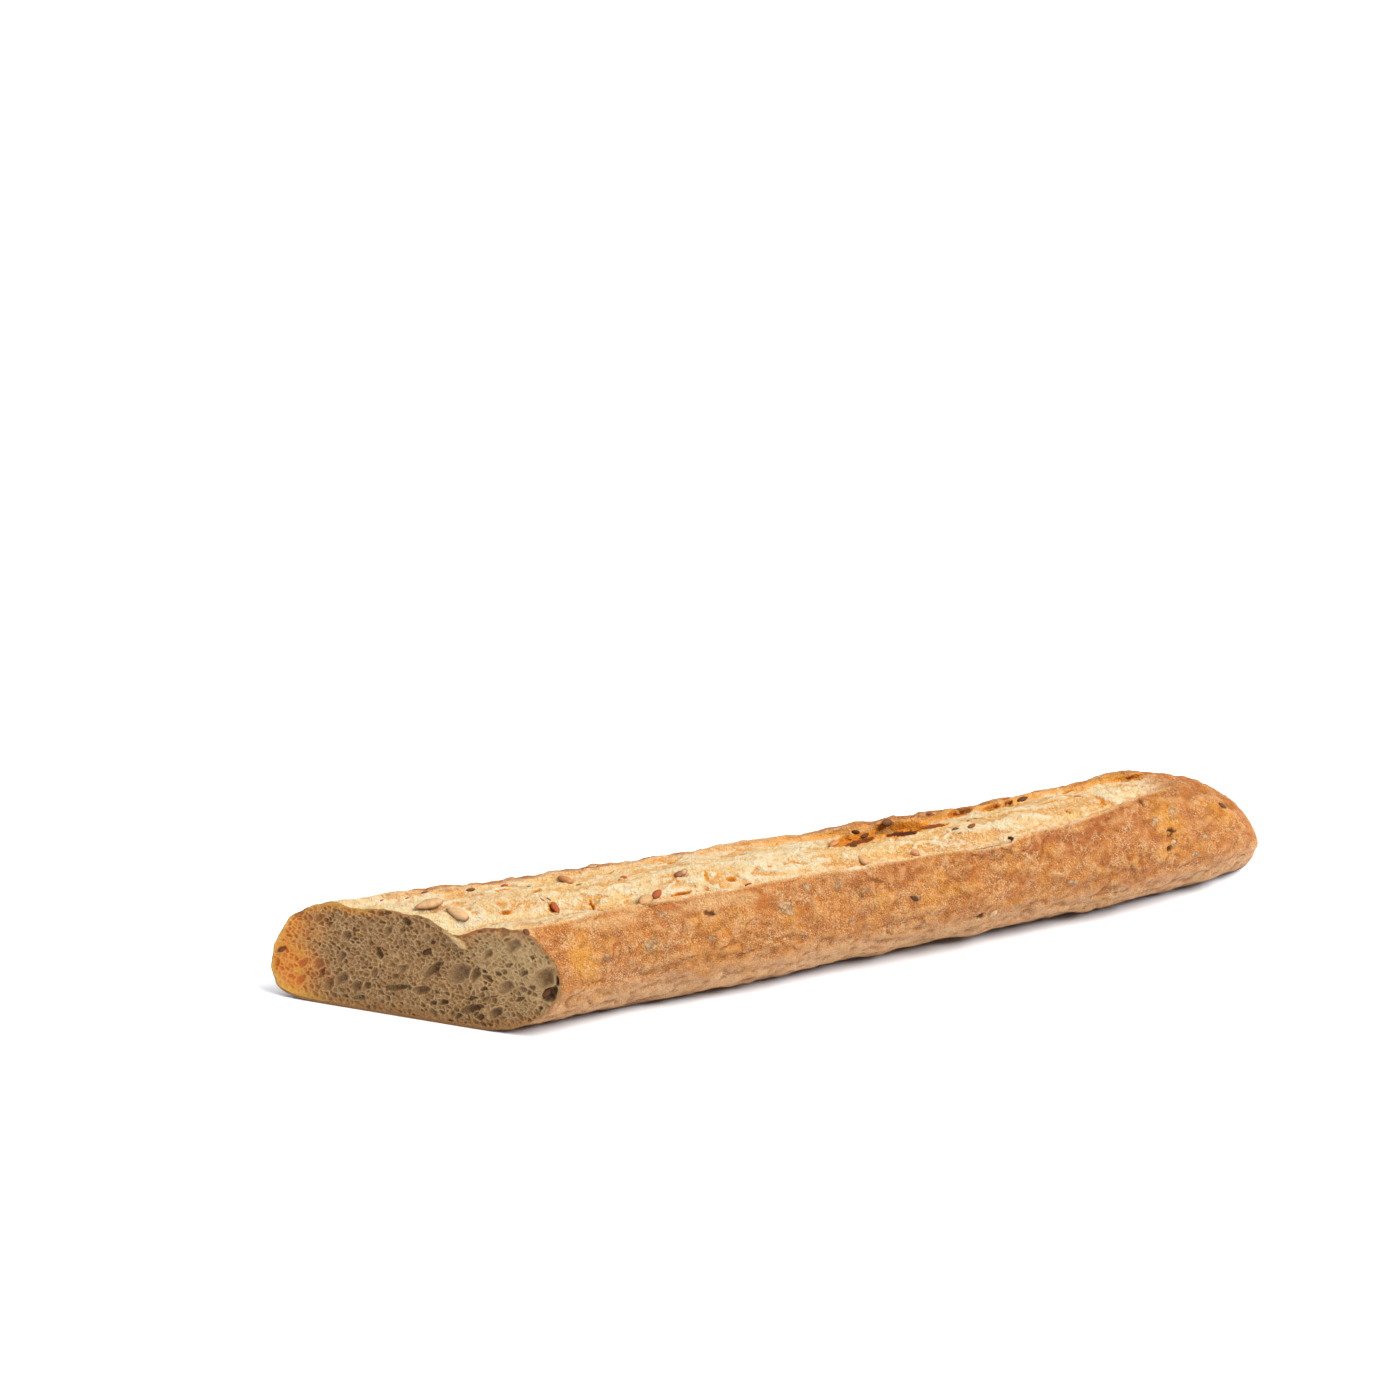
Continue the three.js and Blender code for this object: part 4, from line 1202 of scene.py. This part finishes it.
class Scatter:
    """Copies of one small shape, each laid on the loaf, gathered into one mesh."""

    def __init__(self, shape):
        self.spots, self.faces = shape
        self.all_spots, self.all_faces, self.tones, self.ends = [], [], [], []
        self.underside_shades = []

    def lay(self, start, end, out, width, thick, above, tone=None):
        """Lays one copy from start towards end, standing this much above the surface, and no longer
        than such a seed is for its width. Its tone, from 0 to 1, picks its colour."""
        run = end - start
        run = run / np.linalg.norm(run)
        long = min(np.linalg.norm(end - start), SLIMNESS * width)
        side = np.cross(out, run)
        side /= np.linalg.norm(side)
        top = np.cross(run, side)
        lumps = 1 + 0.02 * chance.normal(size=(len(self.spots), 1))
        sized = self.spots * np.concatenate([np.ones_like(lumps), lumps, lumps], 1)
        middle = (start + end) / 2 + top * (above - thick / 2)
        corners = (middle + np.outer(sized[:, 0] * long, run)
                   + np.outer(sized[:, 1] * width, side) + np.outer(sized[:, 2] * thick, top))
        begin = len(self.all_spots) * len(self.spots)
        self.all_spots.append(corners)
        self.all_faces += [tuple(corner + begin for corner in face) for face in self.faces]
        tone = chance.uniform(0, 0.6) if tone is None else tone
        self.tones.append(np.full(len(corners), tone))
        self.ends.append(self.spots[:, 0] + 0.5)
        # How low each corner lies on the copy, for painted shade on its underside.
        self.underside_shades.append(0.5 - self.spots[:, 2])

    def lay_seen(self, rows):
        """Lays copies on the crust. Each row holds two spots of the camera's frame and sizes."""
        for row in rows:
            here, there = skin_corner(*row[:2]), skin_corner(*row[2:4])
            out = flat_outward[here] + flat_outward[there]
            self.lay(crust_flat[here], crust_flat[there], out / np.linalg.norm(out), *row[4:])

    def lay_on_cut(self, rows):
        """Lays copies in the cut face, from rows of the same kind."""
        for row in rows:
            ends = [along * CUT_RUN + np.array((0, 0, up))
                    for along, up in (on_cut(*row[:2]), on_cut(*row[2:4]))]
            self.lay(*ends, -CUT_INWARD, *row[4:])

    def lay_anywhere(self, count, longs, widths, thick, aboves):
        """Lays copies at random spots of the crust that the camera does not look at. Sizes are
        drawn between two ends."""
        for _ in range(count):
            long, width, above = (chance.uniform(*ends) for ends in (longs, widths, aboves))
            while True:
                corner = chance.integers(len(crust_flat))
                middle, out = crust_flat[corner], flat_outward[corner]
                if middle[2] > 4 and middle[0] < BODY_LENGTH - NOSE_REACH and turned_away[corner]:
                    break
            run = chance.normal(size=3)
            run -= out * (run @ out)
            run *= long / 2 / np.linalg.norm(run)
            self.lay(middle - run, middle + run, out, width, thick, above)

    def piece(self, name):
        return add_mesh(name, np.concatenate(self.all_spots), self.all_faces,
                        {"tone": np.concatenate(self.tones), "end": np.concatenate(self.ends),
                         "under": np.concatenate(self.underside_shades)})


# Each lies between two spots of the frame. Then come its width, its thickness and how far it
# stands out in mm, and its tone.
KERNELS = (
    (444, 904, 415, 911, 4.5, 3.4, 2.9, 0), (468, 922, 446, 911, 4.6, 3.4, 2.9, 0.15),
    (572, 884, 559, 877, 3.6, 2.6, 1.7, 0.9), (651, 895, 639, 903, 4.4, 2.4, 0.8, 0.6),
    (868, 864, 859, 855, 3.4, 2.2, 0.9, 0.65), (921, 854, 908, 848, 3.2, 2.2, 0.7, 0.85),
    (838, 841, 829, 847, 3.2, 2.2, 1.4, 0.9), (1100, 804, 1092, 798, 3, 2, 0.6, 0.5),
    (998, 911, 988, 917, 2.8, 2.2, 0.7, 0.3), (1176, 841, 1170, 847, 2.4, 2.2, 0.8, 0),
)
kernels = Scatter(drop(22, 20, 0.5, 0.035))
kernels.lay_seen(KERNELS)
kernels.lay_anywhere(16, (7.5, 10), (3.4, 4.6), 2.4, (0.1, 0.6))
kernel_piece = kernels.piece("sunflower_kernels")

look = Finish("sunflower kernel")
tone = look.ramp(look.mask("tone"), (0, 212, 166, 112), (0.5, 212, 172, 116), (1, 206, 122, 54))
look.colour = look.blend(look.patches(1.6, 0.45, 0.65, 5) * 0.45, tone, (166, 120, 74))
tips = look.mask("end").over(0.8, 1) + look.mask("end").over(0.08, 0)
# Toasted brown tips, and painted shade on the underside.
look.coats((tips, 0.8, 176, 96, 40), (look.mask("under").over(0.25, 0.7), 0.8, 150, 92, 48))
look.dress(kernel_piece, 0.5, relief=look.patches(0.5, 0.35, 0.65, 4, 30) * 0.15, strength=0.7)
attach(kernel_piece, "root")

# ---------------------------------------------------------------------------------------------
# The flax seeds: small, flat, brown and glossy, stuck in the score's torn skin, in the crust and
# in the crumb.
flax = Scatter(drop(14, 14, 0.62, 0.0))
FLAX = (
    (850, 835, 862, 838, 2.4, 1.4, 2.2, 0.1), (861, 841, 869, 836, 2.2, 1.4, 1.6, 0.2),
    (847, 847, 859, 845, 1.6, 1.2, 0.6, 0.1), (1016, 801, 1028, 797, 2, 1.2, 0.7, 0.2),
    (1006, 840, 1014, 845, 2.8, 2, 2.2, 0), (744, 886, 753, 884, 2.2, 1.3, 0.9, 1),
    (652, 899, 661, 890, 3, 1.6, 1.1, 0.75), (552, 903, 558, 913, 2.6, 1.4, 0.8, 0.8),
    (621, 877, 629, 878, 1.8, 1, 0.3, 0.9), (301, 912, 309, 907, 1.6, 1, 0.6, 0.2),
    (523, 930, 530, 935, 2.2, 1.2, 0.6, 0.4), (952, 830, 959, 828, 1.6, 1, 0.5, 0.5),
    (968, 829, 975, 824, 2, 1.3, 0.8, 0.6), (1073, 796, 1082, 796, 1.6, 1, 0.3, 0.7),
    (418, 893, 432, 892, 1.2, 1, 0.5, 0.5), (464, 890, 476, 889, 1.4, 1, 0.5, 0.4),
    (500, 886, 509, 884, 1.4, 1, 0.4, 0.8), (880, 824, 892, 821, 2.8, 1.8, 1.5, 0.5),
    (912, 817, 921, 815, 1.4, 1, 0.4, 0.7), (925, 815, 933, 813, 1.2, 1, 0.4, 0.6),
    (584, 870, 591, 867, 2, 1.4, 0.8, 0.9), (1218, 801, 1227, 809, 2.2, 1.2, 0.35, 0.3),
    (911, 896, 920, 900, 2, 1.1, 0.4, 0.2), (1003, 800, 1010, 797, 1.4, 1, 0.4, 0.8),
)
FLAX_IN_CRUMB = (
    (277, 952, 287, 947, 1.8, 1.2, 0.5), (423, 955, 431, 949, 2.2, 1.4, 0.5),
    (431, 944, 436, 941, 1.2, 1, 0.4), (353, 928, 357, 932, 1.2, 1, 0.2),
    (324, 970, 323, 977, 1.4, 1, 0.1), (384, 914, 392, 912, 1.4, 1, 0.4),
    (541, 999, 550, 989, 2.6, 1.8, -0.4, 0.35),
)
flax.lay_seen(FLAX)
flax.lay_on_cut(FLAX_IN_CRUMB)
flax.lay_anywhere(30, (3.6, 4.8), (1.9, 2.5), 1.2, (0.1, 0.7))
flax_piece = flax.piece("flax_seeds")

look = Finish("flax seed")
look.colour = look.ramp(look.mask("tone"), (0, 72, 38, 16), (0.5, 122, 76, 42), (1, 204, 92, 40))
look.coats((look.patches(1.5, 0.4, 0.7, 4), 0.4, 60, 36, 18))
look.dress(flax_piece, 0.55, 0.15)
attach(flax_piece, "root")

# ---------------------------------------------------------------------------------------------
# Grain bits: cracked grains and green herb-like flecks of husk, a millimetre or three long.
bits = Scatter(drop(6, 7, 0.6, 0.12))
BITS = (
    (675, 878, 683, 872, 3.4, 2.2, 1.1, 0.5), (680, 876, 688, 870, 3, 2.2, 1.4, 0.9),
    (540, 898, 544, 901, 1, 0.6, 0.3), (546, 898, 551, 901, 1, 0.6, 0.3),
    (576, 885, 582, 883, 1, 0.6, 0.3), (527, 887, 531, 886, 0.8, 0.6, 0.3),
    (966, 822, 970, 820, 1, 0.8, 0.4), (973, 819, 978, 818, 1.2, 0.8, 0.4),
    (860, 897, 864, 895, 1, 0.8, 0.65), (1045, 832, 1048, 830, 0.8, 0.6, 0.3),
    (715, 937, 719, 935, 0.8, 0.7, 0.4), (617, 881, 620, 879, 0.7, 0.6, 0.3),
    (406, 899, 410, 898, 0.8, 0.6, 0.3), (380, 901, 384, 900, 0.8, 0.6, 0.3),
    (1002, 857, 1006, 855, 0.9, 0.7, 0.3), (958, 834, 961, 832, 0.8, 0.6, 0.3),
)
bits.lay_seen(BITS)
bits.lay_anywhere(70, (1.2, 2.6), (0.7, 1.5), 0.8, (0.15, 0.5))
bits_piece = bits.piece("grain_bits")

look = Finish("grain bit")
tone = look.ramp(look.mask("tone"), (0, 124, 100, 58), (0.35, 150, 84, 46), (0.6, 96, 78, 66),
                 (0.8, 196, 150, 100), steps="CONSTANT")
look.colour = look.blend(look.patches(0.8, 0.4, 0.7) * 0.5, tone, (80, 60, 40))
look.dress(bits_piece, 0.6)
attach(bits_piece, "root")
